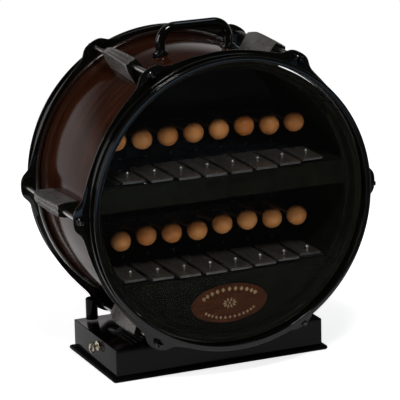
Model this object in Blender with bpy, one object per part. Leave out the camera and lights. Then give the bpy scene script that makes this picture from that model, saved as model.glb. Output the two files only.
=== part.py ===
"""Self-playing metallophone: a 14-inch drum on a base, with two rows of bars and electric mallets."""
import math

import bmesh
import bpy
from mathutils import Matrix, Vector

MM = 0.001

GAP = 0.3 * MM
SEAT_GAP = 0.5 * MM
ROUND_STEPS = 60

# Drum shell: the axis runs along Y, the front faces -Y, and the edges are bevelled inwards
SHELL_R = 177.8 * MM
SHELL_WALL = 6.0 * MM
SHELL_INNER_R = SHELL_R - SHELL_WALL
SHELL_HALF = 108 * MM
EDGE_FLAT = 0.8 * MM
RING_THICK = 5.8 * MM
RING_SET_BACK = 20.5 * MM
RING_LONG = 9 * MM
RING_R = SHELL_INNER_R - RING_THICK
RING_FRONT_Y = -SHELL_HALF + RING_SET_BACK
RING_BACK_Y = RING_FRONT_Y + RING_LONG

# Plinth, box and the saddle that carries the drum
PLINTH_THICK = 6.3 * MM
PLINTH_EDGE = 6 * MM
BOX_HALF_X = 142.5 * MM
BOX_FRONT_IN = 45.6 * MM
BOX_BACK_IN = 24.5 * MM
BOX_FRONT_Y = -SHELL_HALF + BOX_FRONT_IN
BOX_BACK_Y = SHELL_HALF - BOX_BACK_IN
BOX_TALL = 34.7 * MM
BOX_BOTTOM_Z = PLINTH_THICK + GAP
BOX_TOP_Z = BOX_BOTTOM_Z + BOX_TALL
BOX_WALL = 5 * MM
SADDLE_HALF_X = 26 * MM
SADDLE_FRONT_Y = -30 * MM
SADDLE_BACK_Y = 58 * MM

# Heads: film disc, collar and flesh hoop
FILM = 0.5 * MM
COLLAR = 1.1 * MM
COLLAR_R = SHELL_R + GAP
FLESH_WIDE = 5.9 * MM
FLESH_TALL = 5.7 * MM
FLESH_DROP = 6.8 * MM
FLESH_OUT_R = COLLAR_R + FLESH_WIDE
FLESH_FRONT = SHELL_HALF - FLESH_DROP
FLESH_BACK = FLESH_FRONT - FLESH_TALL

# Counter hoops: lip, wall, shoulder, lower wall and flange with six ears
HOOP_SHEET = 2.3 * MM
LIP_WIDE = 4.5 * MM
LIP_RISE = 14.3 * MM
LOWER_WALL_TALL = 12.5 * MM
FLANGE_WIDE = 3.0 * MM
HOOP_R = COLLAR_R + COLLAR + SEAT_GAP
LIP_R = HOOP_R + HOOP_SHEET + LIP_WIDE
SHOULDER_Y = FLESH_FRONT + SEAT_GAP + HOOP_SHEET
LIP_Y = SHOULDER_Y + LIP_RISE
LOWER_R = FLESH_OUT_R + SEAT_GAP + HOOP_SHEET
FLANGE_R = LOWER_R + FLANGE_WIDE
FLANGE_Y = SHOULDER_Y - LOWER_WALL_TALL
FLANGE_TOP_Y = FLANGE_Y + HOOP_SHEET
ROD_OUT = 10.2 * MM
ROD_CIRCLE_R = LOWER_R + ROD_OUT
EAR_TIP = 7.5 * MM
EDGE_CUTS = 4
LUG_DEGREES = (30, 90, 150, 210, 270, 330)

# Ear: distance from the rod along the hoop, and the share of the ear's rise there
EAR_SHAPE = (
    (0, 1),
    (5.6 * MM, 1),
    (12.4 * MM, 0.88),
    (21 * MM, 0.4),
    (36 * MM, 0.15),
    (51 * MM, 0.07),
    (75 * MM, 0),
)

# Tension rods
ROD_R = 3.0 * MM
ROD_PLAY = 0.4 * MM
WASHER_R = 5.5 * MM
WASHER_THICK = 1.2 * MM
ROD_COLLAR_R = 4.5 * MM
ROD_COLLAR_LONG = 2.7 * MM
ROD_HEAD_R = 3.6 * MM
ROD_HEAD_LONG = 8 * MM

# Lugs, measured outwards from their foot on the shell
LUG_FOOT_R = SHELL_R + GAP
LUG_FRONT_Y = -39.5 * MM
LUG_LONG = 91.8 * MM
LUG_NOSE_LONG = 4 * MM
LUG_HUMP_IN = 23 * MM
LUG_SIDE_TALL = 17 * MM
LUG_TIP_TALL = 24.4 * MM
LUG_NOSE_TALL = 26.6 * MM
LUG_TALL = 29 * MM
LUG_BACK_TALL = 23.7 * MM
LUG_TIP_WIDE = 17 * MM
LUG_NOSE_WIDE = 19.4 * MM
LUG_HUMP_WIDE = 12.8 * MM
LUG_BACK_WIDE = 10.8 * MM
LUG_NOSE_CREST = 0.7
LUG_HUMP_CREST = 0.92

# Height of the drum's axis: the two lowest lugs clear the box
LUG_CLEAR = 0.402 * MM
LOW_LUG_ANGLE = math.radians(30)
LUG_REACH = (LUG_FOOT_R + LUG_TALL) * math.cos(LOW_LUG_ANGLE)
CREST_REACH = LUG_HUMP_WIDE / 2 * LUG_HUMP_CREST * math.sin(LOW_LUG_ANGLE)
AXIS_Z = BOX_TOP_Z + LUG_CLEAR + LUG_REACH + CREST_REACH

# Carrying handle
HANDLE_HALF = 46 * MM
HANDLE_RISE = 34.5 * MM
HANDLE_R = 6 * MM
HANDLE_BEND_R = 20 * MM
HANDLE_FOOT_R = 10 * MM
HANDLE_FOOT_TALL = 4.9 * MM

# Locating pegs, set in from the box's end and back
PEG_R = 7.8 * MM
PEG_IN_X = 21.5 * MM
PEG_IN_Y = 9 * MM
PEG_TALL = 28.7 * MM
PEG_CHAMFER = 1.5 * MM

# Key switch on the left face of the box
KEY_Y = -1.4 * MM
KEY_DOWN = 11.2 * MM
KEY_Z = BOX_TOP_Z - KEY_DOWN
KEY_SHAFT_R = 1.8 * MM
KEY_SHAFT_LONG = 10 * MM
KEY_NECK_LONG = 1.5 * MM
KEY_PLAY = 0.15 * MM
LOCK_WALL = 3.05 * MM
LOCK_BORE_R = KEY_SHAFT_R + KEY_PLAY
LOCK_R = LOCK_BORE_R + LOCK_WALL
LOCK_RIM_WIDE = 1.5 * MM
LOCK_RIM_THICK = 1.5 * MM
LOCK_LONG = 14 * MM
BOW_HALF_X = 4.6 * MM
BOW_HALF_Z = 7.4 * MM
BOW_THICK = 2.0 * MM
BOW_HOLE_R = 1.7 * MM
BOW_DROP = 1.2 * MM

# Shelves and front boards, cut to the ring at the front and to the shell behind it
BOARD_PLAY = 0.4 * MM
BOARD_SET_BACK = 19.3 * MM
BOARD_THICK = 9 * MM
BOARD_FRONT_Y = -SHELL_HALF + BOARD_SET_BACK
SHELF_THICK = 8 * MM
SHELF_BACK_PLAY = 8 * MM
SHELF_BACK_Y = SHELL_HALF - SHELF_BACK_PLAY
UPPER_SHELF_UP = 32.6 * MM
LOWER_SHELF_RISE = 83.8 * MM
LOWER_SHELF_DOWN = SHELL_R - LOWER_SHELF_RISE
FASCIA_TALL = 30.2 * MM

# Oval plaque, its middle measured up from the drum's lowest line
PLAQUE_X = 1.2 * MM
PLAQUE_RISE = 44.6 * MM
PLAQUE_DOWN = SHELL_R - PLAQUE_RISE
PLAQUE_HALF_X = 51.7 * MM
PLAQUE_HALF_Z = 24.8 * MM
PLAQUE_THICK = 2 * MM

# Row of bars: its frame fits between the shell's walls at the lower shelf
BARS = 8
BAR_GAP = 6.1 * MM
ROW_SIDE_PLAY = 4.05 * MM
FRAME_PAST_BAR = 4 * MM
LOWER_CHORD_HALF = math.sqrt(SHELL_INNER_R ** 2 - LOWER_SHELF_DOWN ** 2)
FRAME_HALF_X = LOWER_CHORD_HALF - ROW_SIDE_PLAY
PITCH = (2 * (FRAME_HALF_X - FRAME_PAST_BAR) + BAR_GAP) / BARS

# Bars: their ends are measured back from the board's face, except the overhang in front of it
BAR_WIDE = PITCH - BAR_GAP
BAR_THICK = 3.4 * MM
PIN_PLAY = 0.5 * MM
UPPER_OVERHANG = 13.4 * MM
LOWER_OVERHANG = 6.9 * MM
UPPER_BAR_BACK = 71.4 * MM
LOWER_BAR_BACK = 76.7 * MM
UPPER_BAR_BOW = 1.27 * MM
LOWER_BAR_BOW = 1.35 * MM
UPPER_BACK_BOW = 0.63 * MM
UPPER_BAR_SKEW = 0.1 * MM
LOWER_BAR_SKEW = 0.9 * MM

# Bar frames: felted strips, pins with ball heads, guide posts behind the gaps between the bars
STRIP_THICK = 2.4 * MM
FRAME_END = 3 * MM
FRONT_STRIP_IN = 13.2 * MM
FRONT_STRIP_DEEP = 15 * MM
BACK_STRIP_DEEP = 41 * MM
PIN_R = 1.1 * MM
PIN_BALL_R = 2.2 * MM
UPPER_PIN_UP = 4.4 * MM
LOWER_PIN_UP = 5.2 * MM
UPPER_PIN_IN = 16.5 * MM
LOWER_PIN_IN = 14.2 * MM
UPPER_PIN_BOW = 0.55 * MM
LOWER_PIN_BOW = 0.7 * MM
GUIDE_R = 1.9 * MM
GUIDE_UP = 6.5 * MM
GUIDE_IN = 90.7 * MM
GUIDE_PAST = 5 * MM

# Mallets: the ball's height at rest differs a little from mallet to mallet
PIVOT_FROM_BACK = 38 * MM
PIVOT_Y = SHELL_HALF - PIVOT_FROM_BACK
UPPER_PIVOT_UP = 37.2 * MM
LOWER_PIVOT_UP = 39.4 * MM
UPPER_STRIKE_IN = 57.5 * MM
LOWER_STRIKE_IN = 52.6 * MM
UPPER_REACH = PIVOT_Y - BOARD_FRONT_Y - UPPER_STRIKE_IN
LOWER_REACH = PIVOT_Y - BOARD_FRONT_Y - LOWER_STRIKE_IN
UPPER_LIFT_DEG = (4.5, 3.3, 3.4, 3.4, 3.4, 3.9, 2.5, 2.4)
LOWER_LIFT_DEG = (2.5, 4.0, 3.4, 2.8, 4.8, 5.2, 4.0, 3.7)
BALL_R = 13 * MM
STRIKE_GAP = 0.3 * MM
STICK_R = 2.2 * MM
TAIL = 20 * MM
HUB_WALL = 2.4 * MM
HUB_HALF = 4.5 * MM
ARMATURE_R = 5 * MM
ARMATURE_BACK = 26 * MM
ARMATURE_LOW = 5.5 * MM
AXLE_R = 2.0 * MM
AXLE_PLAY = 0.12 * MM
AXLE_PAST = 0.5 * MM
HUB_BORE_R = AXLE_R + AXLE_PLAY

# Magnet banks: strip on the shelf, coils, end brackets, felt rest rail
BANK_STRIP = 3 * MM
BANK_MARGIN = 2 * MM
BANK_PAST_RAIL = 5 * MM
BANK_END = 13.55 * MM
COIL_R = 9 * MM
COIL_GAP = 1.3 * MM
BRACKET_THICK = 3.5 * MM
BRACKET_HALF_Y = 7 * MM
BRACKET_OVER = 6 * MM
RAIL_BEHIND = 15 * MM
RAIL_THICK = 4 * MM
ROW_HALF = (BARS - 1) / 2 * PITCH
BANK_HALF_X = ROW_HALF + BANK_END

# Controller board inside the base
BOARD_HALF_X = 60 * MM
BOARD_HALF_Y = 35 * MM
BOARD_LIFT = 6 * MM
BOARD_SHEET = 1.6 * MM
POST_HALF = 3 * MM
CHIP_HALF = 8.75 * MM
CHIP_TALL = 4 * MM
CHIP_SPACING = 30 * MM

TINY = 1e-6

COLOURS = {
    "shell_wood": ((0.20, 0.035, 0.018), 0.18, 0.0),
    "black_gloss": ((0.012, 0.013, 0.015), 0.12, 0.0),
    "clear_film": ((0.86, 0.88, 0.90), 0.08, 0.0),
    "dark_film": ((0.02, 0.02, 0.022), 0.45, 0.0),
    "lug_grey": ((0.05, 0.055, 0.06), 0.35, 0.6),
    "black_matte": ((0.012, 0.012, 0.013), 0.65, 0.0),
    "plaque_wood": ((0.33, 0.13, 0.045), 0.3, 0.0),
    "bar_metal": ((0.06, 0.062, 0.07), 0.35, 0.8),
    "felt_strip": ((0.03, 0.028, 0.03), 0.9, 0.0),
    "steel": ((0.55, 0.56, 0.58), 0.25, 1.0),
    "coil_copper": ((0.20, 0.07, 0.03), 0.45, 0.6),
    "nickel": ((0.70, 0.66, 0.56), 0.22, 1.0),
    "circuit": ((0.02, 0.12, 0.05), 0.5, 0.0),
    "ball_wood": ((0.48, 0.23, 0.09), 0.4, 0.0),
}


def clear_scene():
    """Start from an empty scene."""
    for item in list(bpy.data.objects):
        bpy.data.objects.remove(item)


def material(slot):
    """Principled material for one kind of surface."""
    found = bpy.data.materials.get(slot)
    if found:
        return found
    made = bpy.data.materials.new(slot)
    made.use_nodes = True
    shader = made.node_tree.nodes["Principled BSDF"]
    colour, roughness, metallic = COLOURS[slot]
    shader.inputs["Base Color"].default_value = (*colour, 1.0)
    shader.inputs["Roughness"].default_value = roughness
    shader.inputs["Metallic"].default_value = metallic
    return made


def along_y(x, z):
    """Matrix that lays a turned profile's axis along +Y through (x, z)."""
    return Matrix.Translation((x, 0, z)) @ Matrix.Rotation(-math.pi / 2, 4, "X")


def along_x(y, z):
    """Matrix that lays a turned profile's axis along +X through (y, z)."""
    return Matrix.Translation((0, y, z)) @ Matrix.Rotation(math.pi / 2, 4, "Y")


def turn(bm, profile, steps, matrix):
    """Add a turned body: (radius, height) points, either a closed ring or a run from axis to axis."""
    rings = []
    for radius, height in profile:
        if radius < TINY:
            rings.append([bm.verts.new(matrix @ Vector((0, 0, height)))])
            continue
        ring = []
        for step in range(steps):
            angle = 2 * math.pi * step / steps
            point = Vector((radius * math.sin(angle), radius * math.cos(angle), height))
            ring.append(bm.verts.new(matrix @ point))
        rings.append(ring)
    closed = len(rings[0]) > 1
    pairs = list(zip(rings, rings[1:]))
    if closed:
        pairs.append((rings[-1], rings[0]))
    for low, high in pairs:
        for step in range(steps):
            nxt = (step + 1) % steps
            corners = [low[step % len(low)], low[nxt % len(low)]]
            corners += [high[nxt % len(high)], high[step % len(high)]]
            bm.faces.new(list(dict.fromkeys(corners)))


def block(bm, low, high):
    """Add a rectangular block between two corners."""
    corners = []
    for z in (low[2], high[2]):
        for x, y in ((low[0], low[1]), (high[0], low[1]), (high[0], high[1]), (low[0], high[1])):
            corners.append(bm.verts.new((x, y, z)))
    bm.faces.new(corners[:4][::-1])
    bm.faces.new(corners[4:])
    for step in range(4):
        nxt = (step + 1) % 4
        bm.faces.new((corners[step], corners[nxt], corners[nxt + 4], corners[step + 4]))


def loft(bm, sections):
    """Add a body through equal-length closed sections, capped at both ends."""
    rings = [[bm.verts.new(point) for point in section] for section in sections]
    count = len(rings[0])
    for low, high in zip(rings, rings[1:]):
        for step in range(count):
            nxt = (step + 1) % count
            bm.faces.new((low[step], low[nxt], high[nxt], high[step]))
    bm.faces.new(rings[0][::-1])
    bm.faces.new(rings[-1])


def object_from(name, bm):
    """Turn a bmesh into an object with outward faces."""
    bmesh.ops.recalc_face_normals(bm, faces=bm.faces)
    mesh = bpy.data.meshes.new(name)
    bm.to_mesh(mesh)
    bm.free()
    made = bpy.data.objects.new(name, mesh)
    bpy.context.scene.collection.objects.link(made)
    return made


def combine(target, tool_bm, operation):
    """Join, cut or intersect the target with another body."""
    tool = object_from("tool", tool_bm)
    change = target.modifiers.new("combine", "BOOLEAN")
    change.operation = operation
    change.solver = "EXACT"
    change.object = tool
    bpy.context.view_layer.update()
    graph = bpy.context.evaluated_depsgraph_get()
    mesh = bpy.data.meshes.new_from_object(target.evaluated_get(graph))
    target.modifiers.clear()
    old = target.data
    target.data = mesh
    bpy.data.meshes.remove(old)
    bpy.data.objects.remove(tool)


def dress(made, slot, angle=35):
    """Give the piece its material and smooth its round faces."""
    made.data.name = made.name
    made.data.materials.clear()
    made.data.materials.append(material(slot))
    made.data.shade_smooth()
    made.data.set_sharp_from_angle(angle=math.radians(angle))
    return made


def drum_body(profile):
    """Body turned about the drum axis, in phase with the shell."""
    bm = bmesh.new()
    turn(bm, profile, ROUND_STEPS, along_y(0, AXIS_Z))
    return bm


def shell_clearance():
    """Cylinder that leaves a gap around the shell, to cut what stands on it."""
    radius = SHELL_R + GAP
    return drum_body(((0, -SHELL_HALF), (radius, -SHELL_HALF), (radius, SHELL_HALF), (0, SHELL_HALF)))


def drum_shell():
    """Shell with bevelled edges and a lining ring set back from the front one."""
    edge_r = SHELL_R - EDGE_FLAT
    bevel_y = SHELL_HALF - (SHELL_WALL - EDGE_FLAT)
    profile = (
        (SHELL_R, -SHELL_HALF),
        (SHELL_R, SHELL_HALF),
        (edge_r, SHELL_HALF),
        (SHELL_INNER_R, bevel_y),
        (SHELL_INNER_R, RING_BACK_Y),
        (RING_R, RING_BACK_Y),
        (RING_R, RING_FRONT_Y),
        (SHELL_INNER_R, RING_FRONT_Y),
        (SHELL_INNER_R, -bevel_y),
        (edge_r, -SHELL_HALF),
    )
    dress(object_from("drum_shell", drum_body(profile)), "shell_wood")


def head(name, side, slot):
    """Film over the shell's edge, its collar and its flesh hoop."""
    film_y = SHELL_HALF + GAP
    outer_r = COLLAR_R + COLLAR
    profile = (
        (0, film_y),
        (COLLAR_R, film_y),
        (COLLAR_R, FLESH_BACK),
        (FLESH_OUT_R, FLESH_BACK),
        (FLESH_OUT_R, FLESH_FRONT),
        (outer_r, FLESH_FRONT),
        (outer_r, film_y + FILM),
        (0, film_y + FILM),
    )
    body = drum_body([(radius, side * y) for radius, y in profile])
    dress(object_from(name, body), slot)


def drum_point(degrees, radius, tangent, y):
    """Point at a radius and a tangential offset from the ray at this angle, clockwise from the top."""
    angle = math.radians(degrees)
    x = radius * math.sin(angle) + tangent * math.cos(angle)
    z = radius * math.cos(angle) - tangent * math.sin(angle)
    return Vector((x, y, AXIS_Z + z))


def hoop_profile():
    """Section of the counter hoop, ending with the flange's two outer corners."""
    wall_out = HOOP_R + HOOP_SHEET
    return (
        (LOWER_R - HOOP_SHEET, FLANGE_Y),
        (LOWER_R - HOOP_SHEET, SHOULDER_Y - HOOP_SHEET),
        (HOOP_R, SHOULDER_Y - HOOP_SHEET),
        (HOOP_R, LIP_Y),
        (LIP_R, LIP_Y),
        (LIP_R, LIP_Y - HOOP_SHEET),
        (wall_out, LIP_Y - HOOP_SHEET),
        (wall_out, SHOULDER_Y),
        (LOWER_R, SHOULDER_Y),
        (LOWER_R, FLANGE_TOP_Y),
    )


def flange_reach(degrees):
    """Outer radius of the flange at this angle, which rises to an ear at each lug."""
    apart = min(abs((degrees - place_deg + 180) % 360 - 180) for place_deg in LUG_DEGREES)
    along = math.radians(apart) * ROD_CIRCLE_R
    share = 0
    for (near, high), (far, low) in zip(EAR_SHAPE, EAR_SHAPE[1:]):
        if near <= along < far:
            share = high + (low - high) * (along - near) / (far - near)
    return FLANGE_R + share * (ROD_CIRCLE_R + EAR_TIP - FLANGE_R)


def flange_edge(y):
    """Outer edge of the flange as one chain of points per sector."""
    cut = 360 / ROUND_STEPS / EDGE_CUTS
    chains = []
    for step in range(ROUND_STEPS):
        turns = [(step * EDGE_CUTS + index) * cut for index in range(EDGE_CUTS)]
        chains.append([drum_point(degrees, flange_reach(degrees), 0, y) for degrees in turns])
    return chains


def hoop(name, side):
    """Triple-flanged counter hoop with six ears and rod holes."""
    bm = bmesh.new()
    sector = 360 / ROUND_STEPS
    rings = []
    for radius, y in hoop_profile():
        ring = [bm.verts.new(drum_point(step * sector, radius, 0, side * y)) for step in range(ROUND_STEPS)]
        rings.append(ring)
    for low, high in zip(rings, rings[1:]):
        for step in range(ROUND_STEPS):
            nxt = (step + 1) % ROUND_STEPS
            bm.faces.new((low[step], low[nxt], high[nxt], high[step]))
    edges = []
    for y in (FLANGE_TOP_Y, FLANGE_Y):
        edges.append([[bm.verts.new(point) for point in chain] for chain in flange_edge(side * y)])
    for edge, ring in zip(edges, (rings[-1], rings[0])):
        for step in range(ROUND_STEPS):
            nxt = (step + 1) % ROUND_STEPS
            bm.faces.new([ring[step], *edge[step], edge[nxt][0], ring[nxt]])
    top = [vert for chain in edges[0] for vert in chain]
    bottom = [vert for chain in edges[1] for vert in chain]
    for step, vert in enumerate(top):
        nxt = (step + 1) % len(top)
        bm.faces.new((vert, top[nxt], bottom[nxt], bottom[step]))
    made = object_from(name, bm)
    cutter = bmesh.new()
    for degrees in LUG_DEGREES:
        centre = drum_point(degrees, ROD_CIRCLE_R, 0, 0)
        low = side * (FLANGE_Y - HOOP_SHEET)
        high = side * (FLANGE_Y + 2 * HOOP_SHEET)
        hole_r = ROD_R + ROD_PLAY
        profile = ((0, low), (hole_r, low), (hole_r, high), (0, high))
        turn(cutter, profile, 12, along_y(centre.x, centre.z))
    combine(made, cutter, "DIFFERENCE")
    dress(made, "black_gloss")


def lug_section(degrees, y, wide, tall, crest_share):
    """Cross-section of the lug's body: flat foot, upright sides, narrower crest."""
    half = wide / 2
    crest = half * crest_share
    side_r = LUG_FOOT_R + LUG_SIDE_TALL
    top_r = LUG_FOOT_R + tall
    points = (
        (LUG_FOOT_R, -half),
        (side_r, -half),
        (top_r, -crest),
        (top_r, crest),
        (side_r, half),
        (LUG_FOOT_R, half),
    )
    return [drum_point(degrees, radius, tangent, y) for radius, tangent in points]


def rod_profile(side, root_y):
    """Rod from its square head through the hoop's ear into the lug."""
    washer_y = FLANGE_TOP_Y + GAP
    collar_y = washer_y + WASHER_THICK
    head_y = collar_y + ROD_COLLAR_LONG
    tip_y = head_y + ROD_HEAD_LONG
    points = (
        (0, tip_y),
        (ROD_HEAD_R, tip_y),
        (ROD_HEAD_R, head_y),
        (ROD_COLLAR_R, head_y),
        (ROD_COLLAR_R, collar_y),
        (WASHER_R, collar_y),
        (WASHER_R, washer_y),
        (ROD_R, washer_y),
        (ROD_R, root_y),
        (0, root_y),
    )
    return [(radius, side * y) for radius, y in points]


def lug(number, degrees):
    """One lug with its front and rear tension rods; its hump is near the back."""
    nose_y = LUG_FRONT_Y + LUG_NOSE_LONG
    back_y = LUG_FRONT_Y + LUG_LONG
    hump_y = back_y - LUG_HUMP_IN
    bm = bmesh.new()
    loft(bm, (
        lug_section(degrees, LUG_FRONT_Y, LUG_TIP_WIDE, LUG_TIP_TALL, LUG_NOSE_CREST),
        lug_section(degrees, nose_y, LUG_NOSE_WIDE, LUG_NOSE_TALL, LUG_NOSE_CREST),
        lug_section(degrees, hump_y, LUG_HUMP_WIDE, LUG_TALL, LUG_HUMP_CREST),
        lug_section(degrees, back_y, LUG_BACK_WIDE, LUG_BACK_TALL, LUG_HUMP_CREST),
    ))
    made = object_from(f"lug_{number}", bm)
    centre = drum_point(degrees, ROD_CIRCLE_R, 0, 0)
    for side, end_y in ((-1, -LUG_FRONT_Y), (1, back_y)):
        rod = bmesh.new()
        turn(rod, rod_profile(side, end_y - 2 * LUG_NOSE_LONG), 10, along_y(centre.x, centre.z))
        combine(made, rod, "UNION")
    dress(made, "lug_grey")


def shell_top(x):
    """Height of the shell's upper surface at this distance from the middle."""
    return AXIS_Z + math.sqrt((SHELL_R + GAP) ** 2 - x * x)


def handle_path():
    """Centre line of the handle's bow, from the left foot to the right one, with its radius."""
    bar_z = AXIS_Z + SHELL_R + HANDLE_RISE - HANDLE_R
    bend_z = bar_z - HANDLE_BEND_R
    bend_x = HANDLE_HALF - HANDLE_BEND_R
    foot_z = shell_top(HANDLE_HALF) + HANDLE_FOOT_TALL
    root_z = shell_top(HANDLE_HALF + HANDLE_FOOT_R) - HANDLE_FOOT_R
    path = [
        (-HANDLE_HALF, root_z, HANDLE_FOOT_R),
        (-HANDLE_HALF, foot_z, HANDLE_FOOT_R),
        (-HANDLE_HALF, foot_z + TINY, HANDLE_R),
    ]
    bend_steps = 6
    for step in range(bend_steps + 1):
        angle = math.pi / 2 * step / bend_steps
        x = -bend_x - HANDLE_BEND_R * math.cos(angle)
        path.append((x, bend_z + HANDLE_BEND_R * math.sin(angle), HANDLE_R))
    mirrored = [(-x, z, radius) for x, z, radius in reversed(path)]
    return path + mirrored


def handle():
    """Bow handle on two round feet that follow the shell."""
    path = handle_path()
    sections = []
    count = 12
    for index, (x, z, radius) in enumerate(path):
        before = path[max(index - 1, 0)]
        after = path[min(index + 1, len(path) - 1)]
        run = Vector((after[0] - before[0], 0, after[1] - before[1])).normalized()
        side = Vector((0, 1, 0))
        up = run.cross(side)
        section = []
        for step in range(count):
            angle = 2 * math.pi * step / count
            offset = radius * (math.cos(angle) * side + math.sin(angle) * up)
            section.append(Vector((x, 0, z)) + offset)
        sections.append(section)
    bm = bmesh.new()
    loft(bm, sections)
    made = object_from("handle", bm)
    combine(made, shell_clearance(), "DIFFERENCE")
    dress(made, "black_gloss")


def base_box():
    """Lacquered box, open below, with the saddle for the drum and the lock's hole."""
    bm = bmesh.new()
    block(bm, (-BOX_HALF_X, BOX_FRONT_Y, BOX_BOTTOM_Z), (BOX_HALF_X, BOX_BACK_Y, BOX_TOP_Z))
    made = object_from("base_box", bm)
    saddle = bmesh.new()
    low = (-SADDLE_HALF_X, SADDLE_FRONT_Y, BOX_TOP_Z - BOX_WALL / 2)
    block(saddle, low, (SADDLE_HALF_X, SADDLE_BACK_Y, AXIS_Z))
    combine(made, saddle, "UNION")
    combine(made, shell_clearance(), "DIFFERENCE")
    inside = bmesh.new()
    low = (-BOX_HALF_X + BOX_WALL, BOX_FRONT_Y + BOX_WALL, 0)
    block(inside, low, (BOX_HALF_X - BOX_WALL, BOX_BACK_Y - BOX_WALL, BOX_TOP_Z - BOX_WALL))
    combine(made, inside, "DIFFERENCE")
    hole = bmesh.new()
    wall_x = -BOX_HALF_X
    hole_r = LOCK_R + GAP
    profile = ((0, wall_x - BOX_WALL), (hole_r, wall_x - BOX_WALL))
    profile += ((hole_r, wall_x + 2 * BOX_WALL), (0, wall_x + 2 * BOX_WALL))
    turn(hole, profile, 16, along_x(KEY_Y, KEY_Z))
    combine(made, hole, "DIFFERENCE")
    dress(made, "black_gloss")


def plinth_ring(inset, z):
    """Rectangle of the plinth at one height."""
    half = BOX_HALF_X + PLINTH_EDGE - inset
    front = BOX_FRONT_Y - PLINTH_EDGE + inset
    back = BOX_BACK_Y + PLINTH_EDGE - inset
    return [Vector((x, y, z)) for x, y in ((-half, front), (half, front), (half, back), (-half, back))]


def base_plinth():
    """Plinth plate with a half-round edge."""
    radius = PLINTH_THICK / 2
    sections = []
    steps = 6
    for step in range(steps + 1):
        angle = math.pi * step / steps
        inset = radius * (1 - math.sin(angle))
        sections.append(plinth_ring(inset, radius * (1 - math.cos(angle))))
    bm = bmesh.new()
    loft(bm, sections)
    dress(object_from("base_plinth", bm), "black_gloss")


def peg(name, side):
    """Round peg with a chamfered top, on the box's back corner."""
    low = BOX_TOP_Z + GAP
    top = BOX_TOP_Z + PEG_TALL
    profile = (
        (0, low),
        (PEG_R, low),
        (PEG_R, top - PEG_CHAMFER),
        (PEG_R - PEG_CHAMFER, top),
        (0, top),
    )
    bm = bmesh.new()
    x = side * (BOX_HALF_X - PEG_IN_X)
    turn(bm, profile, 20, Matrix.Translation((x, BOX_BACK_Y - PEG_IN_Y, 0)))
    dress(object_from(name, bm), "black_gloss")


def shelf(name, top_z, board_low_z):
    """Shelf with its front board, cut to the curves of the ring and the shell."""
    front = BOARD_FRONT_Y
    back_of_board = front + BOARD_THICK
    outline = (
        (front, board_low_z),
        (back_of_board, board_low_z),
        (back_of_board, top_z - SHELF_THICK),
        (SHELF_BACK_Y, top_z - SHELF_THICK),
        (SHELF_BACK_Y, top_z),
        (front, top_z),
    )
    half = SHELL_R
    bm = bmesh.new()
    loft(bm, [[Vector((x, y, z)) for y, z in outline] for x in (-half, half)])
    made = object_from(name, bm)
    front_r = RING_R - BOARD_PLAY
    inner_r = SHELL_INNER_R - BOARD_PLAY
    step_y = RING_BACK_Y + GAP
    room = ((0, -SHELL_HALF), (front_r, -SHELL_HALF), (front_r, step_y))
    room += ((inner_r, step_y), (inner_r, SHELL_HALF), (0, SHELL_HALF))
    combine(made, drum_body(room), "INTERSECT")
    dress(made, "black_matte")


def plaque():
    """Oval plaque on the lower front board."""
    back = BOARD_FRONT_Y - GAP
    count = 48
    sections = []
    for y in (back - PLAQUE_THICK, back):
        section = []
        for step in range(count):
            angle = 2 * math.pi * step / count
            x = PLAQUE_X + PLAQUE_HALF_X * math.cos(angle)
            section.append(Vector((x, y, AXIS_Z - PLAQUE_DOWN + PLAQUE_HALF_Z * math.sin(angle))))
        sections.append(section)
    bm = bmesh.new()
    loft(bm, sections)
    dress(object_from("plaque", bm), "plaque_wood")


def place(index):
    """Position of a bar in its row, counted from the middle, in pitches."""
    return index - (BARS - 1) / 2


def pin_y(row, offset):
    """Front pin of a bar: the pins follow the bars' bowed front line."""
    if row == "upper":
        return BOARD_FRONT_Y + UPPER_PIN_IN + UPPER_PIN_BOW * offset * offset
    return BOARD_FRONT_Y + LOWER_PIN_IN + LOWER_PIN_BOW * offset * offset


def shelf_top(row):
    """Height of the shelf that carries this row."""
    return AXIS_Z + UPPER_SHELF_UP if row == "upper" else AXIS_Z - LOWER_SHELF_DOWN


def bar_top(row):
    """Height of the bars' upper face: they lie on the frame's strips."""
    return shelf_top(row) + GAP + STRIP_THICK + GAP + BAR_THICK


def bar_ends(row, offset):
    """Front and rear end of a bar: the fronts follow a bow, and so do the upper row's backs."""
    if row == "upper":
        front = UPPER_BAR_BOW * offset * offset + UPPER_BAR_SKEW * offset - UPPER_OVERHANG
        back = UPPER_BAR_BACK - UPPER_BACK_BOW * offset * offset
    else:
        front = LOWER_BAR_BOW * offset * offset + LOWER_BAR_SKEW * offset - LOWER_OVERHANG
        back = LOWER_BAR_BACK
    return BOARD_FRONT_Y + front, BOARD_FRONT_Y + back


def pivot_z(row):
    """Height of the mallets' axle."""
    return shelf_top(row) + (UPPER_PIVOT_UP if row == "upper" else LOWER_PIVOT_UP)


def lifts(row):
    """Angle of each mallet of the row at rest, above level, in degrees."""
    return UPPER_LIFT_DEG if row == "upper" else LOWER_LIFT_DEG


def reach(row):
    """Distance from the axle to a ball's middle."""
    return UPPER_REACH if row == "upper" else LOWER_REACH


def bar(row, index):
    """One bar with the hole for its front pin."""
    offset = place(index)
    front, back = bar_ends(row, offset)
    x = offset * PITCH
    top = bar_top(row)
    bm = bmesh.new()
    block(bm, (x - BAR_WIDE / 2, front, top - BAR_THICK), (x + BAR_WIDE / 2, back, top))
    made = object_from(f"bar_{row}_{index + 1}", bm)
    hole = bmesh.new()
    low = top - 2 * BAR_THICK
    high = top + BAR_THICK
    hole_r = PIN_R + PIN_PLAY
    profile = ((0, low), (hole_r, low), (hole_r, high), (0, high))
    turn(hole, profile, 10, Matrix.Translation((x, pin_y(row, offset), 0)))
    combine(made, hole, "DIFFERENCE")
    dress(made, "bar_metal")


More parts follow.
